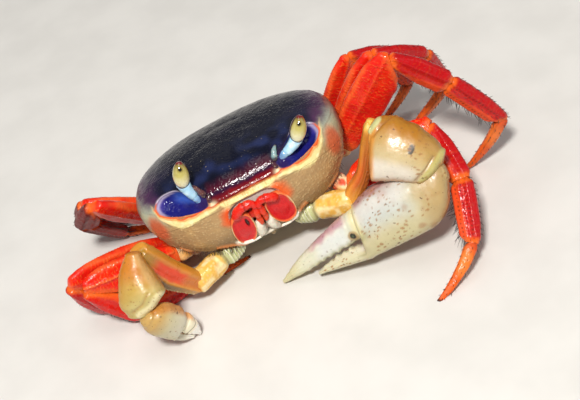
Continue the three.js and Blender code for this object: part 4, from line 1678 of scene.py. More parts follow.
@dataclass
class WalkingLeg:
    """One walking leg: five pieces that meet at flat-cut, pinched joints."""

    number: int
    side: Side
    root: Triple
    sizes: dict[str, Triple]
    pose: Pose
    distal_colours: tuple[str, str] = ("b30f14", "dc4a22")
    ridge: float = 0.12
    tip_sink: float = 0.3
    elbow_round: float = 0.75
    fold: float = 1.6
    pinches: Pair = (0.26, 0.12)
    gap: float = 0.02
    dull: float = 0.0
    # rings of each piece: part of its length, rise, half width and half thickness
    profiles: dict[str, list[Ring]] = field(
        default_factory=lambda: {
            "base": [(0, 0, .86, .92), (.35, 0, 1, 1), (.7, 0, .86, .9), (1, 0, .96, .92)],
            "merus": [
                (0, 0, .52, .84), (.1, .02, .66, .92), (.3, .07, .9, 1), (.55, .09, 1, 1),
                (.8, .07, .96, .95), (.93, .04, .84, .88), (1, 0, .7, .78),
            ],
            "carpus": [
                (0, .04, .6, .78), (.2, .14, .74, .95), (.55, .08, .98, 1), (.85, .03, 1, .96),
                (1, 0, .86, .84),
            ],
            "propodus": [
                (0, 0, .9, .86), (.2, .02, 1, 1), (.6, .02, .98, .98), (.9, 0, .82, .86),
                (1, 0, .66, .72),
            ],
            "dactyl": [
                (0, 0, .95, .9), (.14, .22, 1, 1), (.42, .5, .84, .84), (.72, .42, .6, .62),
                (1, 0, .34, .42),
            ],
        }
    )

    def __post_init__(self) -> None:
        """Works out the joints and the direction of each piece."""
        heading, lean, *climbs = (angle * DEG for angle in self.pose)
        mirror = self.side.value
        out = np.array([mirror * math.cos(heading), math.sin(heading), 0])
        across = np.array([-mirror * math.sin(heading), math.cos(heading), 0])
        rise = np.array([0, 0, math.cos(lean)]) + across * math.sin(lean)
        self.joints = [STANCE.place(np.array(self.root) * self.side.mirror)]
        self.alongs: list[Array] = []
        self.frames: list[Array] = []
        for index, segment in enumerate(SEGMENTS):
            length = self.sizes[segment][0]
            if segment == "dactyl":
                climbs.append(
                    -math.pi + math.asin((self.joints[-1][2] + self.tip_sink) / (length * rise[2]))
                )
            c, s = math.cos(climbs[index]), math.sin(climbs[index])
            along = out * c + rise * s
            self.alongs.append(along)
            self.frames.append(axes_at(along, rise * c - out * s))
            self.joints.append(self.joints[-1] + along * length)

    def body_root(self) -> Root:
        """Where the leg leaves the body."""
        length, half, thick = self.sizes["base"]
        return Root(self.joints[0], self.frames[0], half, thick, length * 0.9)

    def joint_plane(self, index: int) -> Plane:
        """The cut between piece index and the one after it."""
        normal = unit(unit(self.alongs[index]) + unit(self.alongs[index + 1]))
        return Plane(normal, float(normal @ self.joints[index + 1]))

    def relief(self, segment: str, skin: LimbSkin, t: Array, front: int) -> Array:
        """Height of the ridges, beads and grooves of one piece.

        Args:
            segment: which piece.
            skin: its smooth skin.
            t: part of its length at each point.
            front: 1 or -1, the side of the piece that faces forward.

        Returns:
            How far each point is raised.
        """
        local = skin.local
        _, half, thick = self.sizes[segment]
        x, y, z = parts(local)
        face = front * y / thick
        level = z / half
        lift = 0.05 * cloud(local, 1.6, 100 + self.number) + 0.02 * cloud(local, 0.5, 101)
        if segment == "merus":
            ahead = smooth(0.2, 0.6, face)
            lift += self.ridge * 1.1 * bump(level, 0.34, 0.10) * ahead * smooth(0, 0.15, t)
            beads = 0.55 + 0.45 * np.sin(x * TURN / 0.75)
            lift += 0.16 * bump(level, 1.02, 0.10) * beads
            lift += (0.10 + 0.22 * self.ridge) * bump(level, 0.34, 0.09) * ahead * beads
            bent = x + 1.1 * cloud(local, 2.2, 102) + 0.25 * np.abs(np.sin(z * 2.6))
            wave = np.sin(bent * TURN / 0.85)
            lift += 0.035 * smooth(0.2, 0.95, wave) * smooth(0.3, 0.7, np.abs(y) / thick)
        elif segment in ("carpus", "propodus"):
            for place, height in ((0.55, 0.24), (-0.25, 0.18), (-0.8, 0.15)):
                beads = 0.75 + 0.25 * np.sin(x * TURN / 0.7 + place * 9)
                lift += height * bump(level, place, 0.13) * smooth(0.1, 0.7, face) * beads
            lift -= 0.14 * bump(level, 0.15, 0.16) * smooth(0.2, 0.7, face)
            lift += 0.14 * bump(level, 1.0, 0.12)
        elif segment == "dactyl":
            lobes = np.cos(skin.angle * 3)
            lift += 0.10 * lobes * thick * (1 - 0.6 * t)
        elif segment == "base":
            lift -= 0.35 * bump(t, 0.5, 0.07) + 0.25 * bump(t, 0.18, 0.05)
        return lift

    def colours(
        self, segment: str, skin: LimbSkin, t: Array, near_joint: Array, front: int
    ) -> tuple[Paint, Array, Array | float]:
        """Paints one piece, and says how wet and how wrinkled it is.

        Args:
            segment: which piece.
            skin: its smooth skin.
            t: part of its length at each point.
            near_joint: how far each point is from the nearest cut.
            front: 1 or -1, the side of the piece that faces forward.

        Returns:
            Its paint, and how wet and how wrinkled it is.
        """
        _, half, thick = self.sizes[segment]
        local = skin.local + 0.25 * drift_of(skin.local, 1.2, 110)
        level, face = local[..., 2] / half, front * local[..., 1] / thick
        patchy = cloud(skin.local, 3.0, 114)
        joint = smooth(1.5, 0.35, near_joint + 0.35 * cloud(skin.local, 0.8, 115))
        wet = 0.3 + 0.25 * patchy
        mark = 0.0
        if segment == "base":
            paint = Paint(level.shape, "e2a657")
            paint.coat("f0ddb0", smooth(-0.1, 0.5, patchy) * 0.85)
            paint.coat("d63a1c", smooth(0.25, 0.6, cloud(skin.local, 2.0, 116)) * 0.9)
            paint.coat("8a8170", smooth(0.25, 0.0, t) * 0.7)
            paint.coat("a2381a", bump(t, 0.5, 0.06) * 0.8)
        elif segment == "merus":
            paint = Paint(level.shape, "dc1c0e")
            paint.coat("e43a18", smooth(-0.1, 0.7, patchy) * 0.5)
            paint.coat("b51414", smooth(0.1, 0.8, -patchy) * 0.35)
            paint.coat("ee6a30", bump(level, 1.0, 0.10) * 0.6)
            # a painted orange highlight along the granular ridge of the front face
            paint.coat(
                "f08040",
                bump(level, 0.36, 0.05) * smooth(0.2, 0.6, face) * min(1.0, self.ridge * 1.6),
            )
            paint.coat("e2571f", joint)
            paint.coat("e8642a", smooth(0.14, 0.02, t) * 0.7)
            mark = smooth(0.25, 0.6, np.abs(skin.local[..., 1]) / thick) * (0.75 + 0.25 * patchy)
            wet += 0.25 * bump(level, 0.4, 0.3) + self.ridge * 0.5
        elif segment in ("carpus", "propodus"):
            dark, bright = self.distal_colours
            paint = Paint(level.shape, bright)
            upper = smooth(-0.35, -0.05, level + 0.12 * patchy)
            paint.coat(dark, upper)
            paint.coat("d8321c", bump(level, 0.15, 0.14) * smooth(0.2, 0.7, face) * 0.25)
            paint.coat("5e0c10", smooth(-0.2, -0.8, face) * 0.45)
            paint.coat("e0601f", joint)
            if segment == "propodus":
                for place in (0.34, -0.5):
                    dots = smooth(0.1, 0.7, np.sin(skin.local[..., 0] * TURN / 0.95))
                    paint.coat(
                        "2a0a0c", bump(level, place, 0.055) * dots * smooth(0.1, 0.5, face) * 0.9
                    )
            mark = 0.18
            wet += 0.4 - 0.6 * self.dull
        else:
            paint = Paint(level.shape, "dd5a1c")
            paint.coat("f08a3c", smooth(-0.2, 0.6, patchy) * 0.5)
            paint.coat("b5301a", smooth(0.22, 0.0, t) * 0.7)
            paint.coat("8c3c1a", bump(np.abs(np.sin(skin.angle * 1.5)), 0, 0.25) * 0.4)
            paint.coat("3a1a10", smooth(0.93, 0.99, t))
            wet += 0.1
        return paint, wet, mark

    def build(self, finishes: Finishes) -> None:
        """Makes the five pieces and their bristles.

        Args:
            finishes: the crab's materials.
        """
        side = self.side.word
        front = -self.side.value
        pairs = zip(self.alongs[:-1], self.alongs[1:])
        bends = [math.acos(float(np.clip(unit(a) @ unit(b), -1, 1))) for a, b in pairs]
        rounds = [0.25, *(self.elbow_round * max(0.3, math.cos(bend / 2)) for bend in bends), 0.3]
        hairs = Bristles(f"bristles_leg{self.number}_{side}")
        rng = np.random.default_rng(self.number * 10 + (side == "left"))
        for index, segment in enumerate(SEGMENTS):
            length, half, thick = self.sizes[segment]
            rings = [(t * length, rise * half, wide * half, deep * thick)
                     for t, rise, wide, deep in self.profiles[segment]]
            caps = (rings[0][2] * rounds[index], rings[-1][2] * rounds[index + 1])
            skin = LimbSkin.from_rings(
                self.joints[index], self.frames[index], rings, *SEGMENT_MESH[segment], caps
            )
            t = skin.local[..., 0] / length
            world = skin.world(skin.local)
            cuts = []
            near_joint = np.full(t.shape, 10 * FAR)
            if index > 0:
                before = self.joint_plane(index - 1)
                near_joint = np.minimum(near_joint, before.height(world))
                cuts.append(before.moved(self.gap))
            if index < len(SEGMENTS) - 1:
                after = self.joint_plane(index)
                near_joint = np.minimum(near_joint, -after.height(world))
                cuts.append(after.moved(-self.gap).flipped())
            folded = max(bends[max(0, index - 1):index + 1]) >= self.fold
            depth = self.pinches[folded]
            pinch = (
                1 - depth * bump(np.maximum(near_joint, 0), 0, 0.55)
                + 0.05 * bump(near_joint, 1.5, 0.6)
            )
            axis = skin.local.mean(axis=1, keepdims=True)
            spread = np.array([0, 1, 1]) * (pinch[..., None] - 1)
            skin.local = skin.local + (skin.local - axis) * spread
            lift = self.relief(segment, skin, t, front)
            looks = self.colours(segment, skin, t, near_joint, front)
            name = f"leg{self.number}_{side}_{segment}"
            piece, points, normal = skin.finish(name + "_shell", lift, looks, finishes.leg, cuts)
            hand_over(piece, "leg_joint" if segment in ("base", "dactyl") else "leg", name)
            self.add_hairs(hairs, segment, points, normal, front, rng)
        hairs.build(finishes.bristle, "leg")

    def add_hairs(self, hairs: Bristles, segment: str, points: Array, normal: Array, front: int,
                  rng: np.random.Generator) -> None:
        """Sets the rows of hairs and spines of one piece.

        Args:
            hairs: where they are gathered.
            segment: which piece.
            points: the piece's points, a row to each ring.
            normal: outward directions there.
            front: 1 or -1, the side of the piece that faces forward.
            rng: the source of chance.
        """
        place = SEGMENTS.index(segment)
        corner = (0.05 + 0.18 * place, 0.1 * self.number)
        comb = unit(self.alongs[place]) * 0.9
        front_col = 0.25 + 0.5 * (front < 0)
        for cols, span, count, length, radius, stray in HAIR_ROWS.get(segment, ()):
            for col in cols:
                col = front_col if col is None else col
                hairs.row(
                    points, normal, col, span, count, (length, radius), comb, corner, rng, stray
                )


@dataclass
class WalkingLegs:
    """The eight walking legs, in the stance of a crab with its left side raised."""

    sizes: dict[int, dict[str, Triple]] = field(default_factory=lambda: {
        2: {"base": (6.5, 2.4, 2.0), "merus": (22.0, 4.2, 1.6), "carpus": (14.0, 2.7, 1.6),
            "propodus": (14.2, 2.6, 1.5), "dactyl": (14.4, 1.45, 1.1)},
        3: {"base": (7.5, 2.5, 2.0), "merus": (26.0, 4.8, 1.65), "carpus": (14.5, 2.9, 1.75),
            "propodus": (17.0, 2.6, 1.5), "dactyl": (17.0, 1.5, 1.1)},
        4: {"base": (7.5, 2.4, 1.9), "merus": (25.5, 4.4, 1.7), "carpus": (14.5, 2.8, 1.7),
            "propodus": (16.5, 2.7, 1.5), "dactyl": (16.5, 1.45, 1.1)},
        5: {"base": (7.0, 2.2, 1.8), "merus": (21.5, 3.8, 1.6), "carpus": (12.0, 2.5, 1.6),
            "propodus": (14.0, 2.4, 1.4), "dactyl": (14.5, 1.35, 1.0)},
    })
    roots: dict[int, Triple] = field(
        default_factory=lambda: {
            2: (15.4, -8.4, -12.8), 3: (16.2, 0.4, -12.6), 4: (16.0, 6.4, -12.6),
            5: (14.4, 11.8, -13.0),
        }
    )
    poses: dict[Side, dict[int, Pose]] = field(default_factory=lambda: {
        Side.LEFT: {2: (-32, 57, -12, 36, -56, -76), 3: (-14, 0, 22, 55, -42, -53),
                    4: (7, -16, 10, 65, -36, -71), 5: (14, -12, 9, 66, -32, -70)},
        Side.RIGHT: {2: (-16, 15, 3, 10, -126, -178), 3: (-21, -8, -6, 17, -116, -180),
                     4: (14, -34, 2, 68, -66, -106), 5: (15, -30, 5, 38, -75, -160)},
    })

    def legs(self) -> list[WalkingLeg]:
        """The legs, each with its own sizes and pose.

        Returns:
            The legs of both sides.
        """
        made = []
        for side, poses in self.poses.items():
            for number, pose in poses.items():
                leg = WalkingLeg(number, side, self.roots[number], self.sizes[number], pose)
                if side is Side.RIGHT and number == 2:
                    leg.ridge = 0.4
                    leg.distal_colours = ("c41a14", "dc4a22")
                if side is Side.RIGHT and number >= 4:
                    leg.distal_colours = ("6e060a", "a02016")
                    leg.dull = 1.0
                made.append(leg)
        return made


@dataclass
class Claw:
    """One claw-bearing limb: two arm pieces, the wrist, and the hand with its finger."""

    side: Side
    outward: Triple
    root: Triple
    knee: Triple
    elbow: Triple
    wrist: tuple[Triple, Triple]
    reach: tuple[Triple, Triple]
    bend: float
    rings: dict[str, list[Ring]]
    caps: dict[str, Pair]
    teeth: tuple[Pair, ...]
    finger_teeth: tuple[Pair, ...]
    pitch: float = 0.2
    few: int = 96
    cols: dict[str, int] = field(default_factory=dict)

    def __post_init__(self) -> None:
        """Works out the direction of each piece."""
        outward = np.array(self.outward)
        root, knee, elbow = (np.array(p) for p in (self.root, self.knee, self.elbow))
        start, end = (np.array(p) for p in self.reach)
        line = end - start
        axis = unit(outward - line * (outward @ line) / (line @ line))
        turn = np.array(Matrix.Rotation(-self.side.value * self.bend * DEG, 3, Vector(axis)))
        along = turn @ line
        wrist = [np.array(p) for p in self.wrist]

        def back_of(way: Array) -> Array:
            """Towards the back of a piece."""
            back = unit(np.cross(way, outward))
            return -back if back[2] < 0 else back

        self.origins = {
            "base": root, "merus": knee, "carpus": wrist[0], "hand": start, "finger": start
        }
        ways = {
            "base": knee - root, "merus": elbow - knee, "carpus": wrist[1] - wrist[0],
            "hand": along, "finger": along,
        }
        self.frames = {
            name: axes_at(way, np.array([0, 0, 1.0]) if name == "base" else back_of(way))
            for name, way in ways.items()
        }

    def body_root(self) -> Root:
        """Where the limb leaves the body.

        Returns:
            Its place and size there.
        """
        return Root(
            self.origins["base"], self.frames["base"], self.rings["base"][1][2],
            self.rings["base"][1][3], 5.0,
        )

    def skin(self, name: str) -> LimbSkin:
        """The smooth skin of one piece.

        Args:
            name: which piece.

        Returns:
            The skin.
        """
        cols, pitch = self.cols.get(name, self.few), self.pitch
        place = self.origins[name], self.frames[name]
        return LimbSkin.from_rings(*place, self.rings[name], cols, pitch, self.caps[name])

    def chart(self, name: str, skin: LimbSkin) -> tuple[Array, Array, Array]:
        """Part of the length, height across the broad side, and side faced, at each point.

        Args:
            name: which piece.
            skin: its smooth skin.

        Returns:
            The three numbers for each point.
        """
        rings = np.array(self.rings[name])
        x = skin.local[..., 0]
        table = curve_through(
            rings[:, 0], rings[:, 1:], np.clip(x[:, 0], rings[0, 0], rings[-1, 0])
        )
        level = (skin.local[..., 2] - table[:, None, 0]) / np.maximum(table[:, None, 1], 0.2)
        sign = np.sign(self.frames[name][1] @ np.array(self.outward))
        face = sign * skin.local[..., 1] / np.maximum(table[:, None, 2], 0.2)
        return (x - rings[0, 0]) / (rings[-1, 0] - rings[0, 0]), level, face

    def relief(self, name: str, skin: LimbSkin) -> Array:
        """Height of the swellings, teeth, granules and ribs of one piece.

        Args:
            name: which piece.
            skin: its smooth skin.

        Returns:
            How far each point is raised.
        """
        local = skin.local
        t, level, face = self.chart(name, skin)
        x, z = local[..., 0], local[..., 2]
        plan = np.stack([x, z], -1)
        soft = cloud(local, 5.0, 200)
        lift = 0.10 * soft + 0.05 * cloud(local, 1.6, 201) + 0.015 * cloud(local, 0.5, 202)
        end = self.rings["hand"][-1][0]
        if name == "hand":
            fixed = smooth(0.62, 0.66, x / end)
            for place, height in self.teeth:
                lift += height * bump(x, place, 0.55) * smooth(0.55, 0.95, level) * fixed
            lift -= 0.22 * bump(level, 0.35, 0.3) * fixed * smooth(0.2, 0.7, np.abs(face))
            lift += 0.14 * grains(local, 0.9, 0.45, 203) * smooth(0.78, 0.97, level) * (1 - fixed)
            lift += 0.06 * grains(local, 0.9, 0.45, 204) * smooth(-0.85, -0.97, level)
            lift += (
                0.25 * bump(x, 0.60 * end, 0.4) * smooth(-0.75, -0.5, level)
                * smooth(0.0, 0.4, face)
            )
        elif name == "finger":
            for place, height in self.finger_teeth:
                lift += height * bump(x, place, 0.5) * smooth(-0.5, -0.95, level)
            lift += (
                0.12 * grains(local, 0.8, 0.5, 205) * smooth(0.45, 0.9, level)
                * smooth(0.02, 0.1, t)
            )
            lift -= (
                0.12 * bump(level, 0.1, 0.18) * smooth(0.35, 0.5, t)
                * smooth(0.2, 0.7, np.abs(face))
            )
            lift -= 0.16 * bump(t, 0.075, 0.02)
        elif name == "carpus":
            lift += 0.09 * grains(local, 1.1, 0.42, 206) * smooth(0.7, 0.95, np.abs(level))
            for path, height, width in self.wrist_marks():
                lift += (
                    height * bump(distance_to_path(plan, path), 0, width) * smooth(-0.2, 0.2, face)
                )
        elif name == "merus":
            hollow = smooth(-0.05, 0.2, level) * smooth(0.98, 0.75, level) * smooth(0.0, 0.5, face)
            lift -= 0.55 * hollow
            lift += 0.20 * bump(level, -0.1, 0.09) * smooth(0.0, 0.4, face)
            beads = 0.6 + 0.4 * np.sin(x * TURN / 0.8)
            lift += 0.24 * bump(level, -0.74, 0.10) * beads * smooth(0.0, 0.3, face)
            lift += (
                0.14 * grains(local, 0.8, 0.45, 207) * smooth(-0.1, -0.25, level)
                * smooth(0, 0.4, face)
            )
        else:
            ribs = np.sin(x * TURN / 0.85)
            lift += 0.13 * ribs * smooth(0.36, 0.28, t)
            lift -= 0.35 * bump(t, 0.37, 0.04)
            lift += 0.10 * grains(local, 0.9, 0.45, 208) * smooth(0.42, 0.55, t)
            lift += 0.22 * cloud(local, 2.4, 209) * smooth(0.42, 0.55, t)
        return lift

    def wrist_marks(self) -> list[tuple[list[Pair], float, float]]:
        """Ridges and folds on the wrist: a path across it, a height and a width.

        Returns:
            A row for each mark.
        """
        if self.side is Side.LEFT:
            return [
                ([(-0.2, 3.2), (1.1, 5.9)], 0.35, 0.5),
                ([(0.6, 2.2), (1.9, 4.8), (3.4, 6.8)], -0.28, 0.22),
                ([(15.6, 1.6), (14.3, -2.4), (12.2, -5.6)], 0.3, 0.7),
                ([(13.9, 0.2), (12.9, -2.6), (11.0, -5.6)], -0.25, 0.25),
            ]
        return [
            ([(0.3, -0.4), (3.0, -1.9), (7.0, -4.0)], 0.06, 0.6),
            ([(8.6, -4.6), (11.0, -2.6), (12.6, 0.4)], 0.3, 0.5),
            ([(7.8, -2.8), (10.2, -1.2), (11.8, 1.4)], -0.2, 0.25),
        ]

    def paint_wrist(self, skin: LimbSkin, drift: Array, patchy: Array) -> Paint:
        """Paints the wrist: amber at the back, cream towards the hand, with pale lips.

        Args:
            skin: its smooth skin.
            drift: fine noise that breaks up the edges of the colours.
            patchy: broad noise that spreads them unevenly.

        Returns:
            The paint.
        """
        _, level, face = self.chart("carpus", skin)
        x, z = skin.local[..., 0], skin.local[..., 2]
        plan = np.stack([x, z], -1) + 0.2 * drift[..., None]
        marks = [distance_to_path(plan, path) for path, _, _ in self.wrist_marks()]
        front = smooth(-0.2, 0.2, face)
        if self.side is Side.LEFT:
            high = z + 0.9 * patchy + 0.12 * x - 0.6
            paint = Paint(level.shape, "bba678")
            # pale lilac-grey over the lower back of the wrist: a painted highlight over its cream
            paint.coat("cfc5b4", smooth(-1.5, -4.5, high) * smooth(13.5, 9.0, x))
            paint.coat("b38a46", smooth(-2.0, 2.2, high) * 0.85)
            paint.coat("a96f1e", smooth(1.4, 4.8, high))
            paint.coat("a5701f", smooth(5.0, 7.2, high) * 0.5)
            paint.coat("a98a4e", smooth(9.5, 13.5, x + patchy) * smooth(-4, 2, high) * 0.45)
            paint.coat("d68a2a", smooth(1.6, 0.5, x + 0.18 * np.minimum(z, 0)) * front * 0.8)
            # dark brown along the sunk groove: painted shade in the crease
            paint.coat("8d5a22", bump(marks[1], 0, 0.28) * front * 0.6)
            paint.coat("bdbb80", smooth(0.75, 0.4, marks[0]) * front)
            paint.coat("b9ad68", smooth(0.95, 0.45, marks[2]) * front * 0.9)
            # dark brown along the sunk fold: painted shade in the crease
            paint.coat("86602e", bump(marks[3], 0, 0.22) * front * 0.65)
            chip = np.sqrt(((x - 9.1) / 0.6) ** 2 + ((z - 0.9) / 0.9) ** 2) + 0.5 * drift
            paint.coat("4a4032", smooth(1.15, 0.8, chip) * front)
            paint.coat("a8703a", bump(level, -0.97, 0.07) * 0.7)
        else:
            paint = Paint(level.shape, "b49244")
            paint.coat("bc6c0c", smooth(7.5, 2.0, x + patchy) * 0.9)
            paint.coat("c47a18", smooth(0.35, 0.95, level + 0.2 * patchy) * smooth(12, 7, x) * 0.8)
            paint.coat(
                "b06c1a", smooth(-0.5, -0.95, level + 0.2 * patchy) * smooth(8.5, 5.0, x) * 0.8
            )
            paint.coat("b8aa6e", smooth(6.5, 10.5, x - 0.3 * z) * smooth(0.9, 0.0, level) * 0.8)
            paint.coat("ddd0a0", smooth(0.9, 0.4, marks[1]) * front * 0.8)
            # dark brown along the sunk fold: painted shade in the crease
            paint.coat("9a6a2c", bump(marks[2], 0, 0.25) * front * 0.5)
            paint.coat("d8c48a", smooth(1.0, 0.2, marks[0]) * front * 0.35)
        paint.coat("a5722a", smooth(0.0, -0.7, face) * 0.6)
        return paint

    def paint_hand(self, skin: LimbSkin, drift: Array, patchy: Array) -> Paint:
        """Paints the palm and the fixed finger.

        Args:
            skin: its smooth skin.
            drift: fine noise that breaks up the edges of the colours.
            patchy: broad noise that spreads them unevenly.

        Returns:
            The paint.
        """
        _, level, _ = self.chart("hand", skin)
        x = skin.local[..., 0] + 0.3 * drift
        end = self.rings["hand"][-1][0]
        if self.side is Side.RIGHT:
            paint = Paint(level.shape, "bdb28c").coat("b58838", smooth(4.5, 0.5, x) * 0.8)
            paint.coat("c9c4b0", smooth(3.0, 8.0, x) * smooth(-0.9, -0.2, level) * 0.8)
            paint.coat("b9742a", smooth(0.75, 1.0, level) * 0.8)
            return paint.coat("e4e0d2", smooth(0.78, 0.92, x / end))
        paint = Paint(level.shape, "baaf88")
        paint.coat("ac8e5a", smooth(9.0, 1.0, x + 1.5 * patchy) * 0.9)
        paint.coat(
            "bfc3bd",
            smooth(4.0, 11.0, x + patchy) * smooth(-0.55, 0.25, level) * smooth(22, 18, x) * 0.9,
        )
        paint.coat("c8c0b8", smooth(0.1, 0.6, level) * smooth(5.0, 10.0, x) * 0.6)
        paint.coat("bcb488", smooth(-0.3, -0.85, level) * smooth(5, 10, x) * 0.7)
        paint.coat(
            "96605c",
            smooth(0.68, 0.92, level + 0.08 * drift) * smooth(9.0, 13.0, x) * smooth(22, 20, x)
            * 0.85,
        )
        paint.coat(
            "b07a6a", smooth(0.4, 0.8, level) * smooth(9.0, 14.0, x) * smooth(0.0, 0.8, drift) * 0.5
        )
        paint.coat(
            "9c6a3e", smooth(0.1, 0.7, cloud(skin.local, 1.8, 223)) * smooth(15, 6, x) * 0.55
        )
        paint.coat("c9c08a", bump(x, 20.5, 0.5) * smooth(-0.5, 0.0, level) * 0.8)
        paint.coat("8a6a34", bump(x, 21.35, 0.18) * smooth(-0.4, 0.0, level) * 0.7)
        paint.coat("c8c2a0", smooth(21.5, 24.0, x) * 0.8)
        return paint.coat(
            "8c8458", bump(level, -0.15, 0.14) * smooth(17.5, 20.5, x) * smooth(24.5, 22, x) * 0.55
        )

    def paint_finger(self, skin: LimbSkin, drift: Array) -> Paint:
        """Paints the moving finger.

        Args:
            skin: its smooth skin.
            drift: fine noise that breaks up the edges of the colours.

        Returns:
            The paint.
        """
        _, level, face = self.chart("finger", skin)
        x, z = skin.local[..., 0] + 0.3 * drift, skin.local[..., 2]
        if self.side is Side.RIGHT:
            paint = Paint(level.shape, "efe6c8").coat(
                "dd9238", smooth(0.6, 1.0, level) * smooth(13.0, 10.0, x) * 0.8
            )
            return paint.coat("f6f3ea", smooth(12.2, 13.6, x)).coat(
                "3c2616", bump(x, 11.9, 0.14) * 0.9
            )
        paint = Paint(level.shape, "cbc9b0")
        # pale grey-white over the lower part of the finger near its base: a painted highlight
        paint.coat(
            "cfd1cf", smooth(0.9, 0.2, level) * smooth(22.5, 25.0, x) * smooth(34, 30, x) * 0.7
        )
        pink = (
            smooth(0.25, 0.75, level + 0.25 * drift) * smooth(22.4, 24.5, x) * smooth(36.0, 31.0, x)
        )
        paint.coat("b07f8c", pink * 0.85)
        paint.coat("8a5560", pink * smooth(0.2, 0.8, cloud(skin.local, 0.6, 224)) * 0.6)
        paint.coat("c2b884", smooth(35.0, 41.0, x) * 0.7)
        paint.coat("d6c98c", smooth(22.6, 21.6, x) * 0.6)
        paint.coat("b9b487", smooth(-0.5, -1.0, level) * 0.6)
        spot = np.sqrt((x - 22.7) ** 2 + (z + 0.4) ** 2) + 0.1 * drift
        paint.coat("a58450", smooth(1.5, 1.0, spot) * smooth(0, 0.3, face) * 0.8)
        paint.coat("16140c", smooth(0.85, 0.62, spot) * smooth(0, 0.3, face))
        return paint.coat("50603c", smooth(0.35, 0.15, spot) * smooth(0, 0.3, face) * 0.7)

    def paint_arm(self, name: str, skin: LimbSkin, drift: Array) -> Paint:
        """Paints the two arm pieces.

        Args:
            name: which piece.
            skin: its smooth skin.
            drift: fine noise that breaks up the edges of the colours.

        Returns:
            The paint.
        """
        local = skin.local
        t, level, face = self.chart(name, skin)
        level = level + 0.05 * drift
        x = local[..., 0]
        if name == "base":
            paint = Paint(level.shape, "e3b14e")
            paint.coat("f3e3ae", smooth(-0.1, 0.6, cloud(local, 1.3, 225)) * 0.75)
            paint.coat("cf7a2a", smooth(0.3, 0.8, cloud(local, 1.8, 226)) * 0.6)
            paint.coat(
                "f6edc8",
                smooth(0.6, 0.95, grains(local, 0.9, 0.45, 208)) * smooth(0.42, 0.55, t) * 0.25,
            )
            paint.coat("c2c58c", smooth(0.48, 0.34, t))
            paint.coat(
                "e9ead0", smooth(0.2, 0.9, np.sin(x * TURN / 0.85)) * smooth(0.36, 0.28, t) * 0.7
            )
            return paint.coat("7d6a3c", bump(t, 0.37, 0.025) * 0.7)
        paint = Paint(level.shape, "cf8a2e")
        if self.side is Side.LEFT:
            paint.coat("a3541a", smooth(-0.2, 0.3, face) * smooth(0.98, 0.7, np.abs(level)))
            paint.coat("b87424", smooth(0.55, 0.9, t) * 0.7).coat(
                "dd9a3a", smooth(0.35, 0.05, t) * 0.8
            )
            paint.coat("c9481c", smooth(0.2, 0.9, level) * bump(t, 0.4, 0.2) * 0.6)
            return paint.coat("e6b452", smooth(0.86, 0.98, t))
        upper = smooth(-0.08, 0.06, level) * smooth(-0.2, 0.3, face)
        paint.coat("d83a04", upper * smooth(1.0, 0.7, t) * smooth(0.12, 0.36, t))
        paint.coat("c0661a", upper * smooth(0.4, 0.15, t) * 0.8)
        paint.coat("96701e", upper * smooth(0.7, 0.92, t) * 0.85)
        paint.coat("c98428", smooth(0.74, 0.94, level) * 0.85)
        paint.coat("cd8a30", bump(level, -0.1, 0.11) * smooth(0, 0.4, face))
        facet = smooth(-0.16, -0.26, level) * smooth(-0.9, -0.7, level) * smooth(-0.1, 0.3, face)
        paint.coat("9a8262", facet)
        paint.coat("bc8c40", facet * smooth(0.3, 0.05, t))
        paint.coat("dccb92", bump(level, -0.74, 0.09) * smooth(-0.1, 0.3, face) * 0.9)
        return paint.coat("b8331a", smooth(-0.82, -0.97, level))

    def colours(self, name: str, skin: LimbSkin) -> tuple[Paint, Array, float]:
        """Paints one piece with its flecks, and says how wet and how specked it is.

        Args:
            name: which piece.
            skin: its smooth skin.

        Returns:
            Its paint, and how wet and how specked it is.
        """
        local = skin.local
        drift = cloud(local, 1.5, 220)
        patchy = cloud(local, 4.0, 221)
        wet = 0.35 + 0.25 * cloud(local, 1.8, 222)
        mark = {"hand": 0.9, "carpus": 0.8, "finger": 0.45}.get(name, 0.25)
        if name == "hand":
            paint = self.paint_hand(skin, drift, patchy)
        elif name == "finger":
            paint = self.paint_finger(skin, drift)
        elif name == "carpus":
            paint = self.paint_wrist(skin, drift, patchy)
        else:
            paint = self.paint_arm(name, skin, drift)
            wet += 0.2
        if name in ("hand", "carpus"):
            big = self.side is Side.LEFT
            size, fill = (0.9, 0.34) if big else (0.55, 0.22)
            stretched = local * np.array([0.6, 1, 1])
            thick = smooth(-0.5, 0.3, cloud(local, 3.5, 227))
            if name == "carpus" and big:
                thick = thick * smooth(4.0, 9.0, local[..., 0])
            flecks = grains(stretched + 0.35 * drift[..., None], size, fill, 228) * thick
            paint.coat("93622f", smooth(0.4, 0.8, flecks) * 0.8)
            paint.coat(
                "74481f", smooth(0.75, 0.95, grains(stretched, 0.7, 0.16, 229)) * thick * 0.9
            )
        return paint, wet, mark

    def build(self, finishes: Finishes) -> None:
        """Makes the five pieces.

        Args:
            finishes: the crab's materials.
        """
        for name in self.rings:
            skin = self.skin(name)
            node = f"claw_{self.side.word}_{name}"
            looks = self.colours(name, skin)
            piece, _, _ = skin.finish(
                node + "_shell", self.relief(name, skin), looks, finishes.claw
            )
            hand_over(piece, "claw_arm" if name in ("base", "merus") else "claw", node)


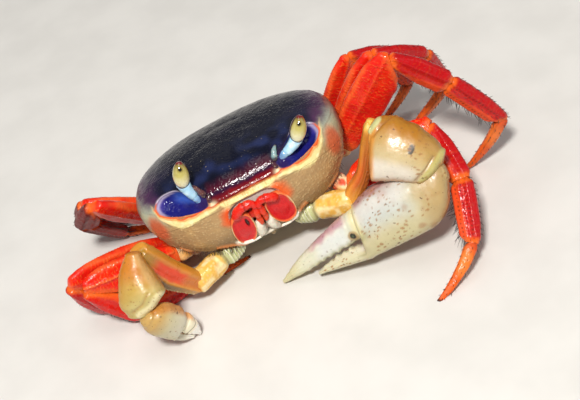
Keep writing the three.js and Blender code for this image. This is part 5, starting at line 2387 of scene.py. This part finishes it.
def both_claws() -> list[Claw]:
    """The big left claw, laid along the ground, and the small right one.

    Returns:
        The two claws.
    """
    left = Claw(
        Side.LEFT, outward=(0.02, -0.80, 0.60), root=(9.0, -14.8, 10.4), knee=(20.4, -20.9, 13.2),
        elbow=(28.8, -18.8, 28.6), wrist=((27.4, -21.8, 27.0), (41.6, -29.4, 22.2)),
        reach=((39.6, -33.0, 15.5), (-0.3, -23.9, 0.8)), bend=5.7,
        rings={
            "base": [
                (0, 0, 2.6, 2.5), (3.0, 0, 3.0, 2.8), (5.2, 0, 2.7, 2.6), (8.6, 0, 3.0, 2.7),
                (13.0, 0, 2.6, 2.4),
            ],
            "merus": [
                (-0.6, -0.1, 1.9, 2.2), (2.0, -0.3, 2.1, 2.7), (8, -1.0, 1.5, 3.0),
                (14, -0.6, 1.8, 3.0), (18.0, -0.4, 1.9, 2.7), (19.6, -0.1, 1.3, 1.9),
            ],
            "carpus": [
                (0, 3.0, 2.4, 2.4), (0.8, 1.15, 5.15, 3.6), (1.9, -0.1, 7.1, 4.3),
                (4.6, 0.35, 7.15, 4.9), (7, 0.2, 6.6, 5.0), (9.5, 0.05, 6.35, 4.9),
                (12, -0.5, 5.5, 4.5), (14, -0.3, 4.1, 3.7), (15.6, 0.3, 1.9, 2.4),
            ],
            "hand": [
                (-1.2, 5.1, 1.9, 1.7), (-0.6, 4.7, 3.0, 2.5), (0.3, 3.6, 4.3, 3.1),
                (1.2, 2.85, 5.05, 3.5), (3.7, 1.8, 6.2, 4.0), (6.1, 1.4, 6.7, 4.3),
                (11.8, 1.25, 7.15, 4.5), (16, 0.8, 7.0, 4.3), (19, 0.1, 6.6, 4.0),
                (20.8, -0.65, 6.05, 3.7), (21.7, -4.85, 1.95, 2.5), (25.1, -4.8, 1.8, 2.2),
                (28, -4.95, 1.4, 1.9), (31, -5.25, 0.95, 1.4), (34.0, -5.7, 0.45, 0.7),
            ],
            "finger": [
                (21.6, 1.65, 3.45, 3.0), (23.4, 1.28, 3.38, 2.9), (27.1, 0.45, 2.95, 2.6),
                (31, -0.65, 2.5, 2.2), (35.2, -2.0, 2.1, 1.8), (38.5, -3.1, 1.5, 1.4),
                (41.2, -4.1, 0.8, 0.9), (42.6, -4.6, 0.45, 0.5),
            ],
        },
        caps={
            "base": (1.2, 1.4), "merus": (1.0, 0.7), "carpus": (0.5, 0.7), "hand": (0.5, 0.4),
            "finger": (1.3, 0.4),
        },
        teeth=((23.4, 0.25), (25.0, 0.5), (26.8, 0.3), (28.6, 0.45), (30.4, 0.25), (32.0, 0.2)),
        finger_teeth=(
            (25.4, 0.25), (27.6, 0.4), (29.8, 0.3), (31.8, 0.3), (33.8, 0.2), (35.8, 0.2)
        ),
        cols={"hand": 150, "carpus": 130},
    )
    right = Claw(
        Side.RIGHT, outward=(-0.30, -0.78, 0.55), root=(-6.6, -14.8, 8.0), knee=(-18.3, -20.4, 6.2),
        elbow=(-26.6, -23.2, 23.4), wrist=((-27.4, -25.0, 25.0), (-30.2, -31.8, 15.0)),
        reach=((-30.0, -33.4, 14.4), (-21.9, -29.6, 0.6)), bend=5.0,
        rings={
            "base": [
                (0, 0, 2.3, 2.2), (2.8, 0, 2.7, 2.5), (4.8, 0, 2.4, 2.3), (8.4, 0, 2.9, 2.6),
                (12.8, 0, 2.6, 2.4),
            ],
            "merus": [
                (0, 0, 2.4, 2.1), (2.5, -0.3, 2.9, 2.4), (9, -1.2, 3.5, 2.7), (16, -0.9, 3.4, 2.8),
                (19.4, -0.2, 2.6, 2.4),
            ],
            "carpus": [
                (0, 0.6, 1.6, 1.8), (2.2, 0.75, 2.75, 2.7), (4.0, 0.47, 3.65, 3.4),
                (6.2, 0.15, 4.35, 4.0), (8.35, -0.1, 5.0, 4.2), (10.5, 0.7, 4.2, 3.8),
                (12.7, 1.1, 2.5, 2.4),
            ],
            "hand": [
                (0, 0, 1.9, 1.8), (1.2, 0.2, 3.0, 2.5), (4, 0.4, 3.9, 2.9), (7.2, 0.2, 3.9, 2.8),
                (8.6, -0.2, 3.5, 2.5), (9.2, -2.5, 1.25, 1.7), (12, -2.6, 1.0, 1.3),
                (15.2, -2.1, 0.5, 0.6),
            ],
            "finger": [
                (9.3, 0.9, 2.2, 1.8), (10.0, 0.9, 2.3, 1.8), (12.5, 0.5, 1.8, 1.5),
                (14.8, -0.2, 1.1, 1.0), (16.4, -0.9, 0.5, 0.55),
            ],
        },
        caps={
            "base": (1.0, 1.2), "merus": (1.4, 1.2), "carpus": (0.8, 1.0), "hand": (1.0, 0.4),
            "finger": (1.2, 0.4),
        },
        teeth=((10.4, 0.3), (11.8, 0.35), (13.2, 0.25)),
        finger_teeth=((11.6, 0.25), (13.0, 0.3), (14.4, 0.2)), pitch=0.16,
    )
    return [left, right]


# ------------------------------------------------------------------ eyes and mouth


def rod(path: Array, radii: Array, cols: int, pitch: float) -> tuple[Array, Array]:
    """A round rod along a curved path.

    Args:
        path: its corners.
        radii: its radius at each corner.
        cols: points round it.
        pitch: space between rings.

    Returns:
        Rings of points, and the part of the length at each.
    """
    run = np.concatenate([[0], np.cumsum(np.linalg.norm(np.diff(path, axis=0), axis=1))])
    count = max(10, int(run[-1] / pitch))
    spots = np.linspace(0, run[-1], count)
    middle = curve_through(run, path, spots)
    radius = curve_through(run, np.asarray(radii, float)[:, None], spots)[:, 0]
    share = spots / run[-1]
    tip = np.clip(np.minimum(spots, run[-1] - spots) / np.maximum(radius, 1e-6), 0, 1)
    radius = radius * np.sqrt(np.clip(1 - (1 - tip) ** 2, 0.02, 1))
    tangent = unit(np.gradient(middle, axis=0))
    across = unit(np.cross(tangent[0], (0.2, 0.9, 0.4)))
    rings = []
    for point, way, r in zip(middle, tangent, radius):
        across = unit(across - way * np.dot(across, way))
        other = np.cross(way, across)
        angle = np.arange(cols) / cols * TURN
        rings.append(point + r * (np.cos(angle)[:, None] * across + np.sin(angle)[:, None] * other))
    return np.array(rings), np.repeat(share[:, None], cols, axis=1)


@dataclass
class Eye:
    """A stalked eye at the inner end of its orbit, its ball bent up from the stalk."""

    side: Side
    lean: float
    root: Triple = (10.3, -17.4, 0.75)
    seat: float = 4.4
    bend: float = 37.0
    stalk_mesh: tuple[int, float] = (56, 0.1)
    stalk_radii: tuple[float, ...] = (0.75, 0.95, 1.15, 1.55, 1.45)
    ball: Triple = (3.0, 1.8, 1.8)
    ball_rings: int = 84
    pseudopupil: float = 0.42
    viewer: Triple = (-3.2, -242.1, 219.8)

    def __post_init__(self) -> None:
        """Works out the directions of the stalk and the ball."""
        forward = np.array([0, -1.0, 0])
        self.origin = np.array(self.root) * self.side.mirror
        self.along = axes_at(self.way(self.lean), forward)[0]
        self.axes = axes_at(self.way(self.lean - self.bend), forward)
        self.centre = self.origin + self.along * self.seat + self.axes[0] * self.ball[0]

    def way(self, lean: float) -> Array:
        """A direction that leans outwards by an angle in degrees."""
        return np.array([self.side.value * math.sin(lean * DEG), -0.04, math.cos(lean * DEG)])

    def place(self, local: Array) -> Array:
        """Points of the ball in the part's own frame."""
        return STANCE.place(local @ self.axes + self.centre)

    def build(self, finishes: Finishes) -> None:
        """Makes the stalk, which swells into a cup behind the ball, and the ball.

        Args:
            finishes: the crab's materials.
        """
        word, mirror = self.side.word, self.side.value
        up, back = self.axes[0], np.array([0, 1.0, 0])
        path = np.array(
            [
                self.origin - self.along * 1.4, self.origin, self.origin + self.along * 2.1,
                self.centre - up * 2.2 + back * 0.6, self.centre - up * 0.9 + back * 0.5,
            ]
        )
        rings, t = rod(path, self.stalk_radii, *self.stalk_mesh)
        normal = tube_normals(rings)
        shell = np.linalg.norm((rings - self.centre) @ self.axes.T / np.array(self.ball), axis=-1)
        folds = (
            0.05 * cloud(rings, 0.8, 300) - 0.10 * bump(t, 0.3, 0.03)
            - 0.06 * bump(shell, 1.12, 0.05)
        )
        paint = Paint(t.shape, "9fc9e0")
        paint.coat("d2e6ee", smooth(0.0, 0.7, cloud(rings, 1.2, 301)) * 0.8)
        paint.coat("4a6fa6", smooth(0.38, 0.18, t) * 0.75)
        inner = normal @ unit(np.array([-0.75 * mirror, 0.5, 0.45]))
        paint.coat("2c1a2c", smooth(0.5, 0.8, inner) * 0.9)
        paint.coat("2b1c1c", smooth(1.13, 1.06, shell))
        points = STANCE.place(rings) + (normal @ STANCE.matrix.T) * folds[..., None]
        piece = tube_piece(f"stalk_{word}", points, rings, paint, 0.75, 0.0, finishes.soft)
        hand_over(piece, "eyestalk", f"eyestalk_{word}")
        self.build_ball(finishes)

    def build_ball(self, finishes: Finishes) -> None:
        """Makes the egg-shaped eyeball with its dark back, red cap, and a dark pseudopupil painted
        on the side that faces the camera.

        Args:
            finishes: the crab's materials.
        """
        word = self.side.word
        turn = np.linspace(2, 178, self.ball_rings) * DEG
        angle = np.arange(self.ball_rings) / self.ball_rings * TURN
        along, wide, deep = self.ball
        egg = 1 + 0.10 * np.cos(turn)[:, None]
        local = np.stack(np.broadcast_arrays(
            -along * np.cos(turn)[:, None],
            wide * np.sin(turn)[:, None] * np.sin(angle)[None] * egg,
            deep * np.sin(turn)[:, None] * np.cos(angle)[None] * egg), -1)
        view = (
            self.axes @ (STANCE.matrix.T @ unit(np.array(self.viewer) - STANCE.place(self.centre)))
        )
        pole = np.array(self.ball) ** 2 * view
        pole = pole / math.sqrt(float(pole @ view))
        reach = np.linalg.norm(local - pole, axis=-1)
        facing = local[..., 2] / deep - 0.5 * self.side.value * local[..., 1] / wide
        height = local[..., 0] / along
        fuzz = 0.10 * cloud(local, 0.6, 310)
        paint = Paint(height.shape, "b9ad62")
        paint.coat("ddd9b4", smooth(0.25, -0.75, height + fuzz))
        paint.coat("8c7a34", smooth(0.1, 0.95, height + fuzz) * 0.85)
        paint.coat("5c4a1c", smooth(0.55, 1.0, height + fuzz) * 0.5)
        paint.coat("3b1a1e", smooth(0.0, -0.28, facing + 0.5 * fuzz))
        paint.coat("6e1414", smooth(0.86, 0.97, height + fuzz) * smooth(0.5, 0.2, facing))
        # the dark pseudopupil and its olive ring, painted where the ball faces the camera: a
        # painted view-dependent shade
        paint.coat("6f5f28", smooth(2.2 * self.pseudopupil, self.pseudopupil, reach) * 0.6)
        paint.coat("120c08", smooth(1.15 * self.pseudopupil, 0.8 * self.pseudopupil, reach))
        points = self.place(local)
        lift = (
            0.10 * smooth(-0.15, -0.4, facing)
            + 0.12 * smooth(0.86, 0.95, height) * smooth(0.4, 0.0, facing)
        )
        points = raised(points, lift)
        piece = tube_piece(f"eyeball_{word}", points, local, paint, 1.0, 0.0, finishes.cornea)
        hand_over(piece, "eye", f"eye_{word}")


@dataclass
class Mouth:
    """The outer mouthparts: two shield plates, their palps, and pale lobes between."""

    body: Body
    plate_centre: Pair = (4.75, -11.0)
    plate_half: Pair = (2.85, 4.65)
    plate_depth: float = 1.3
    palps: dict[Side, list[Triple]] = field(
        default_factory=lambda: {
            Side.RIGHT: [
                (-5.3, -19.1, -6.9), (-4.5, -19.6, -5.7), (-2.6, -19.9, -4.75), (-0.9, -19.9, -4.7),
                (-0.1, -19.8, -5.6), (-0.35, -19.6, -7.4), (-0.5, -19.1, -9.2),
                (-0.45, -18.4, -11.2),
            ],
            Side.LEFT: [
                (5.0, -19.0, -6.9), (4.4, -19.6, -6.0), (3.2, -19.9, -5.4), (1.8, -20.0, -5.1),
                (0.85, -20.0, -5.7), (0.85, -19.7, -7.2), (0.95, -19.3, -8.9), (0.75, -18.6, -10.7),
            ],
        }
    )
    bed: tuple[Triple, ...] = (
        (-2.7, -17.6, -8.2), (-0.9, -17.9, -7.9), (0.9, -17.9, -7.7), (2.7, -17.6, -7.3),
    )
    bed_radii: tuple[float, ...] = (0.8, 1.25, 1.25, 0.8)
    # points round a plate, then rings on its face, round its edge and behind it
    plate_mesh: tuple[int, int, int, int] = (110, 44, 10, 12)
    # points round each other piece, and the space between its rings
    bed_mesh: tuple[int, float] = (48, 0.12)
    palp_mesh: tuple[int, float] = (34, 0.12)
    lobe_mesh: tuple[int, float] = (28, 0.14)
    feeler_mesh: tuple[int, float] = (24, 0.12)
    fringe_span: Pair = (8.4, 20.5)
    fringe_count: int = 58
    palp_radii: tuple[float, ...] = (0.85, 1.02, 1.1, 0.95, 0.75, 0.78, 0.68, 0.4)

    def front_of(self, x: Array, z: Array) -> Array:
        """How far forward the smooth skin lies at a place on the face.

        Args:
            x: its place across the shell.
            z: its height.

        Returns:
            The place along y.
        """
        body = self.body
        share = np.abs(x) / body.half_width
        drop, wide, power = body.bottom
        s = np.clip((body.centre_z - z) / (drop * (1 - share**wide) ** (1 / wide)), 0, 0.999)
        s = s ** (power / 2)
        reach, wide, power = body.front
        front = reach * (1 - share**wide) ** (1 / wide)
        return body.centre_y - front * np.sqrt(1 - s * s) ** (2 / power)

    @staticmethod
    def add(name: str, slot: str, points: Array, paint: Paint, wet: float, finish: Material,
            *nodes: str) -> None:
        """Makes one closed piece from rings drawn in the shell's frame."""
        piece = tube_piece(name, STANCE.place(points), points, paint, wet, 0.0, finish)
        hand_over(piece, slot, *nodes)

    def build_plate(self, side: Side, finishes: Finishes) -> None:
        """Makes one shield plate, red and dished, with a raised cream rim.

        Args:
            side: which side it is on.
            finishes: the crab's materials.
        """
        mirror = side.value
        cols, on_face, round_edge, behind = self.plate_mesh
        angle = np.arange(cols) / cols * TURN
        front = np.linspace(0.02, 1.0, on_face)
        edge = np.linspace(0, 1, round_edge)[1:]
        back = np.linspace(1.0, 0.02, behind)[1:]
        share = np.concatenate([front, 1.0 + 0.035 * np.sin(edge * math.pi), back])
        depth = np.concatenate([np.zeros_like(front), edge, np.ones_like(back)])
        c, s = np.cos(angle), np.sin(angle)
        square = np.where(s > 0, 0.7, 0.9)
        c, s = np.sign(c) * np.abs(c) ** square, np.sign(s) * np.abs(s) ** square
        across = share[:, None] * c[None] * (self.plate_half[0] + 0.15 * mirror - 0.05)
        up = share[:, None] * s[None] * self.plate_half[1]
        across = across * (1 - 0.10 * np.clip(-up / self.plate_half[1], 0, 1))
        x = mirror * (self.plate_centre[0] - 0.10 * up + across)
        z = self.plate_centre[1] + 0.42 * (1 + mirror) + up
        r = np.broadcast_to(share[:, None], x.shape)
        y = self.front_of(x, z) - 0.1 + depth[:, None] * self.plate_depth
        on_front = (depth[:, None] < 0.01) * np.ones_like(x)
        spot = np.stack([x, y, z], -1)
        rise = (
            0.42 * bump(r, 0.95, 0.05) - 0.42 * smooth(0.92, 0.55, r) + 0.05 * cloud(spot, 1.2, 320)
        )
        pit = np.sqrt(((x - mirror * 3.4) / 0.38) ** 2 + ((z + 9.7) / 1.25) ** 2)
        if side is Side.RIGHT:
            rise = rise - 0.35 * smooth(1.2, 0.5, pit)
        points = spot + np.array([0, -0.93, -0.36]) * (rise * on_front)[..., None]
        paint = Paint(x.shape, "cf0410")
        paint.coat("e01c14", smooth(-0.1, 0.7, cloud(spot, 1.5, 321)) * 0.5)
        # pinkish top of the plate: a painted highlight
        paint.coat("e05a48", smooth(2.8, 4.2, up) * smooth(0.95, 0.8, r) * 0.35)
        paint.coat("e8703a", smooth(0.84, 0.93, r))
        paint.coat(
            "f6e0b0", smooth(0.92, 0.98, r + 0.015 * cloud(spot, 0.8, 322)) * smooth(3.6, 1.6, up)
        )
        paint.coat("d9552c", smooth(0.5, 0.9, depth[:, None]) * 0.8)
        # near-black painted into the sunk slit of the right plate: painted shade
        if side is Side.RIGHT:
            paint.coat("1e1512", smooth(1.25, 0.7, pit) * on_front * 0.95)
        name = f"maxilliped_{side.word}"
        self.add(
            f"mouth_plate_{side.word}", "mouthparts", points, paint, 0.45, finishes.mouth, name
        )

    def build(self, finishes: Finishes) -> None:
        """Makes the plates, palps, lobes and feelers.

        Args:
            finishes: the crab's materials.
        """
        bed, t = rod(self.bed, self.bed_radii, *self.bed_mesh)
        bed = raised(bed, 0.14 * cloud(bed, 0.8, 335))
        paint = Paint(t.shape, "b8200c").coat(
            "7a1a10", smooth(0.0, 0.6, cloud(bed, 0.7, 336)) * 0.7
        )
        self.add("mouth_bed", "mouthparts", bed, paint, 0.5, finishes.mouth)
        for side in Side:
            self.build_plate(side, finishes)
            rings, t = rod(self.palps[side], self.palp_radii, *self.palp_mesh)
            knots = bump(t, 0.33, 0.02) + bump(t, 0.58, 0.02) + bump(t, 0.8, 0.02)
            lumps = 0.10 * cloud(rings, 0.7, 330) + 0.05 * cloud(rings, 0.3, 332)
            rings = raised(rings, lumps - 0.14 * knots)
            paint = Paint(t.shape, "d41a08").coat("dd4a1c", smooth(0.5, 0.9, t) * 0.8)
            paint.coat("ee6a50", smooth(0.2, 0.8, cloud(rings, 0.8, 331)) * 0.25).coat(
                "8a1a14", knots * 0.6
            )
            self.add(f"palp_{side.word}", "mouthparts", rings, paint, 0.55, finishes.mouth)
            self.build_lobes(side, finishes)
            self.build_feelers(side, finishes)

    def build_lobes(self, side: Side, finishes: Finishes) -> None:
        """Makes the pale lobes beside the midline, and the lip under the plate.

        Args:
            side: which side it is on.
            finishes: the crab's materials.
        """
        shapes = (
            (
                "lobe",
                [
                    (1.35, -17.9, -10.0), (1.25, -17.5, -11.6), (1.5, -16.7, -13.2),
                    (2.2, -15.4, -14.9),
                ],
                (0.6, 0.95, 1.05, 0.7), "ddd6c4",
            ),
            (
                "inner_lobe", [(0.55, -17.6, -11.2), (0.6, -16.7, -12.9), (1.1, -15.5, -14.5)],
                (0.35, 0.6, 0.45), "a58a78",
            ),
            (
                "lower_lip",
                [
                    (2.2, -15.2, -15.4), (4.4, -15.1, -15.4), (6.4, -15.3, -14.9),
                    (7.6, -15.9, -13.7),
                ],
                (0.3, 0.42, 0.42, 0.25), "efe9d8",
            ),
        )
        for label, path, radii, colour in shapes:
            rings, t = rod(np.array(path) * side.mirror, radii, *self.lobe_mesh)
            rings = raised(rings, 0.08 * cloud(rings, 0.9, 340))
            paint = Paint(t.shape, colour).coat(
                "b98f80", smooth(0.1, 0.7, cloud(rings, 1.1, 341)) * 0.5
            )
            self.add(f"mouth_{label}_{side.word}", "mouthparts", rings, paint, 0.5, finishes.soft)

    def build_feelers(self, side: Side, finishes: Finishes) -> None:
        """Makes the short folded feelers between the eye and the front edge.

        Args:
            side: which side it is on.
            finishes: the crab's materials.
        """
        lump = "7d9a9c" if side is Side.LEFT else "5a3030"
        first = [(8.5, -18.8, 1.0), (8.9, -18.3, 2.1), (9.5, -17.6, 3.1), (10.2, -16.8, 3.7)]
        second = [(8.3, -19.3, -0.5), (8.0, -19.2, 0.3), (7.5, -18.9, 1.2)]
        for label, path, radii, colour in (
            ("feeler", first, (0.5, 0.68, 0.5, 0.3), lump),
            ("antennule", second, (0.4, 0.5, 0.3), "43182a"),
        ):
            rings, t = rod(np.array(path) * side.mirror, radii, *self.feeler_mesh)
            rings = raised(rings, 0.22 * cloud(rings, 0.9, 351) - 0.08 * bump(t, 0.45, 0.04))
            paint = Paint(t.shape, colour).coat(
                "3a1c2c", smooth(0.1, 0.7, cloud(rings, 0.8, 350)) * 0.7
            )
            paint.coat("2a1626", smooth(0.3, 0.05, t) + smooth(0.75, 0.95, t))
            # cream dots on the grain tops: painted glints
            paint.coat("c9b48c", smooth(0.55, 0.85, grains(rings, 0.55, 0.3, 352)) * 0.5)
            self.add(f"{label}_{side.word}", "eyestalk", rings, paint, 0.6, finishes.soft)

    def build_fringe(self, finishes: Finishes) -> None:
        """Sets the fringe along the lower edge of each cheek.

        Args:
            finishes: the crab's materials.
        """
        rng = np.random.default_rng(7)
        hairs = Bristles("cheek_fringe")
        for side in Side:
            for place in np.linspace(*self.fringe_span, self.fringe_count):
                ax = place + rng.normal(0, 0.08)
                z = float(self.body.cheek_edge(np.array(ax))) + rng.normal(0.15, 0.14)
                y = float(self.front_of(np.array(ax), np.array(z))) - 0.1
                spot = np.array([side.value * ax, y, z])
                way = unit(np.array([side.value * 0.25, -0.75, -0.85]) + rng.normal(0, 0.18, 3))
                hairs.roots.append(STANCE.place(spot))
                hairs.ways.append(STANCE.matrix @ way)
                hairs.bends.append(STANCE.matrix @ np.array([0, 0.1, -0.35]))
                hairs.sizes.append((rng.uniform(0.9, 1.6), 0.07))
                hairs.patches.append((0.5 + side.value * ax / 60, 0.3))
        hairs.build(finishes.bristle, "cheeks", "4a3626")


# ------------------------------------------------------------------ studio


@dataclass
class Studio:
    """The pale floor, the lights and the camera."""

    spot: Triple = (-0.01073, -0.22708, 0.21976)
    right: Triple = (0.9318983, -0.2671158, -0.2453866)
    down: Triple = (-0.3609059, -0.6152730, -0.7008467)
    forward: Triple = (0.0362275, 0.7416794, -0.6697756)
    lens: float = 85.0
    sensor: float = 36.0
    clip: Pair = (0.01, 20.0)
    floor_half: float = 3.0
    floor_colours: tuple[str, str] = ("d9d6d0", "d2cfc9")
    target: Triple = (0.0, 0.0, 0.015)
    sky: Ring = (0.9, 0.92, 0.95, 1)
    sky_strength: float = 0.18
    lights: dict[str, tuple] = field(default_factory=lambda: {  # place, size, power and tint
        "key": ((-0.08, -0.34, 0.54), 0.08, 4.7, (1.0, 0.98, 0.95)),
        "overhead": ((0.0, 0.0, 0.9), 0.4, 1.2, (1.0, 1.0, 1.0)),
        "left": ((-0.7, -0.1, 0.45), 0.5, 0.55, (0.97, 0.98, 1.0)),
        "right": ((0.7, -0.2, 0.4), 0.5, 0.6, (1.0, 1.0, 1.0)),
        "rear": ((0.1, 0.8, 0.5), 0.6, 0.25, (1.0, 1.0, 1.0)),
    })

    def build_floor(self) -> None:
        """Lays the floor."""
        material = bpy.data.materials.new("floor")
        material.use_nodes = True
        wires = Wiring(material.node_tree)
        spot = wires.put("NewGeometry").outputs["Position"]
        soft = wires.put("TexNoise", {"Vector": spot, "Scale": 60.0, "Detail": 3.0}).outputs["Fac"]
        tones = [(*linear(colour), 1) for colour in self.floor_colours]
        shader = {"Base Color": wires.blend(wires.span(soft, 0.3, 0.7), *tones), "Roughness": 0.8}
        wires.show("BsdfPrincipled", shader)
        half = self.floor_half
        corners = [(-half, -half, 0), (half, -half, 0), (half, half, 0), (-half, half, 0)]
        mesh = bpy.data.meshes.new("floor")
        mesh.from_pydata(corners, [], [(0, 1, 2, 3)])
        mesh.materials.append(material)
        floor = link(bpy.data.objects.new("floor", mesh))

    def build_lights(self) -> None:
        """Hangs a bright small light by the camera and large soft ones round it."""
        for name, (spot, size, power, tint) in self.lights.items():
            data = bpy.data.lights.new(name, "AREA")
            data.shape, data.size, data.energy, data.color = "SQUARE", size, power, tint
            lamp = link(bpy.data.objects.new(name, data))
            lamp.location = spot
            way = Vector(self.target) - Vector(spot)
            lamp.rotation_euler = way.to_track_quat("-Z", "Y").to_euler()
        world = bpy.data.worlds.new("studio")
        world.use_nodes = True
        colour, strength = world.node_tree.nodes["Background"].inputs[:2]
        colour.default_value, strength.default_value = self.sky, self.sky_strength
        bpy.context.scene.world = world
        bpy.context.scene.view_settings.view_transform = "Standard"

    def build_camera(self) -> None:
        """Sets the camera at its place."""
        data = bpy.data.cameras.new("camera")
        data.lens, data.sensor_width = self.lens, self.sensor
        data.clip_start, data.clip_end = self.clip
        camera = link(bpy.data.objects.new("camera", data))
        turn = Matrix(
            (self.right, [-k for k in self.down], [-k for k in self.forward])
        ).transposed()
        camera.matrix_world = Matrix.Translation(Vector(self.spot)) @ turn.to_4x4()
        bpy.context.scene.camera = camera

    def build(self) -> None:
        """Makes the studio."""
        self.build_camera()
        self.build_lights()
        self.build_floor()


def main() -> None:
    """Builds the studio and then the crab, from the shell outwards."""
    logging.basicConfig(level=logging.INFO, format="%(name)s %(message)s")
    Studio().build()
    finishes = Finishes.build()
    legs, claws = WalkingLegs().legs(), both_claws()
    roots = [limb.body_root() for limb in (*legs, *claws)]
    body = Body()
    body.build(finishes, roots)
    for side, lean in ((Side.LEFT, 70.0), (Side.RIGHT, 19.0)):
        Eye(side, lean).build(finishes)
    mouth = Mouth(body)
    mouth.build(finishes)
    mouth.build_fringe(finishes)
    for leg in legs:
        leg.build(finishes)
    for claw in claws:
        claw.build(finishes)
    LOG.info("the crab is built")


if __name__ == "__main__":
    main()
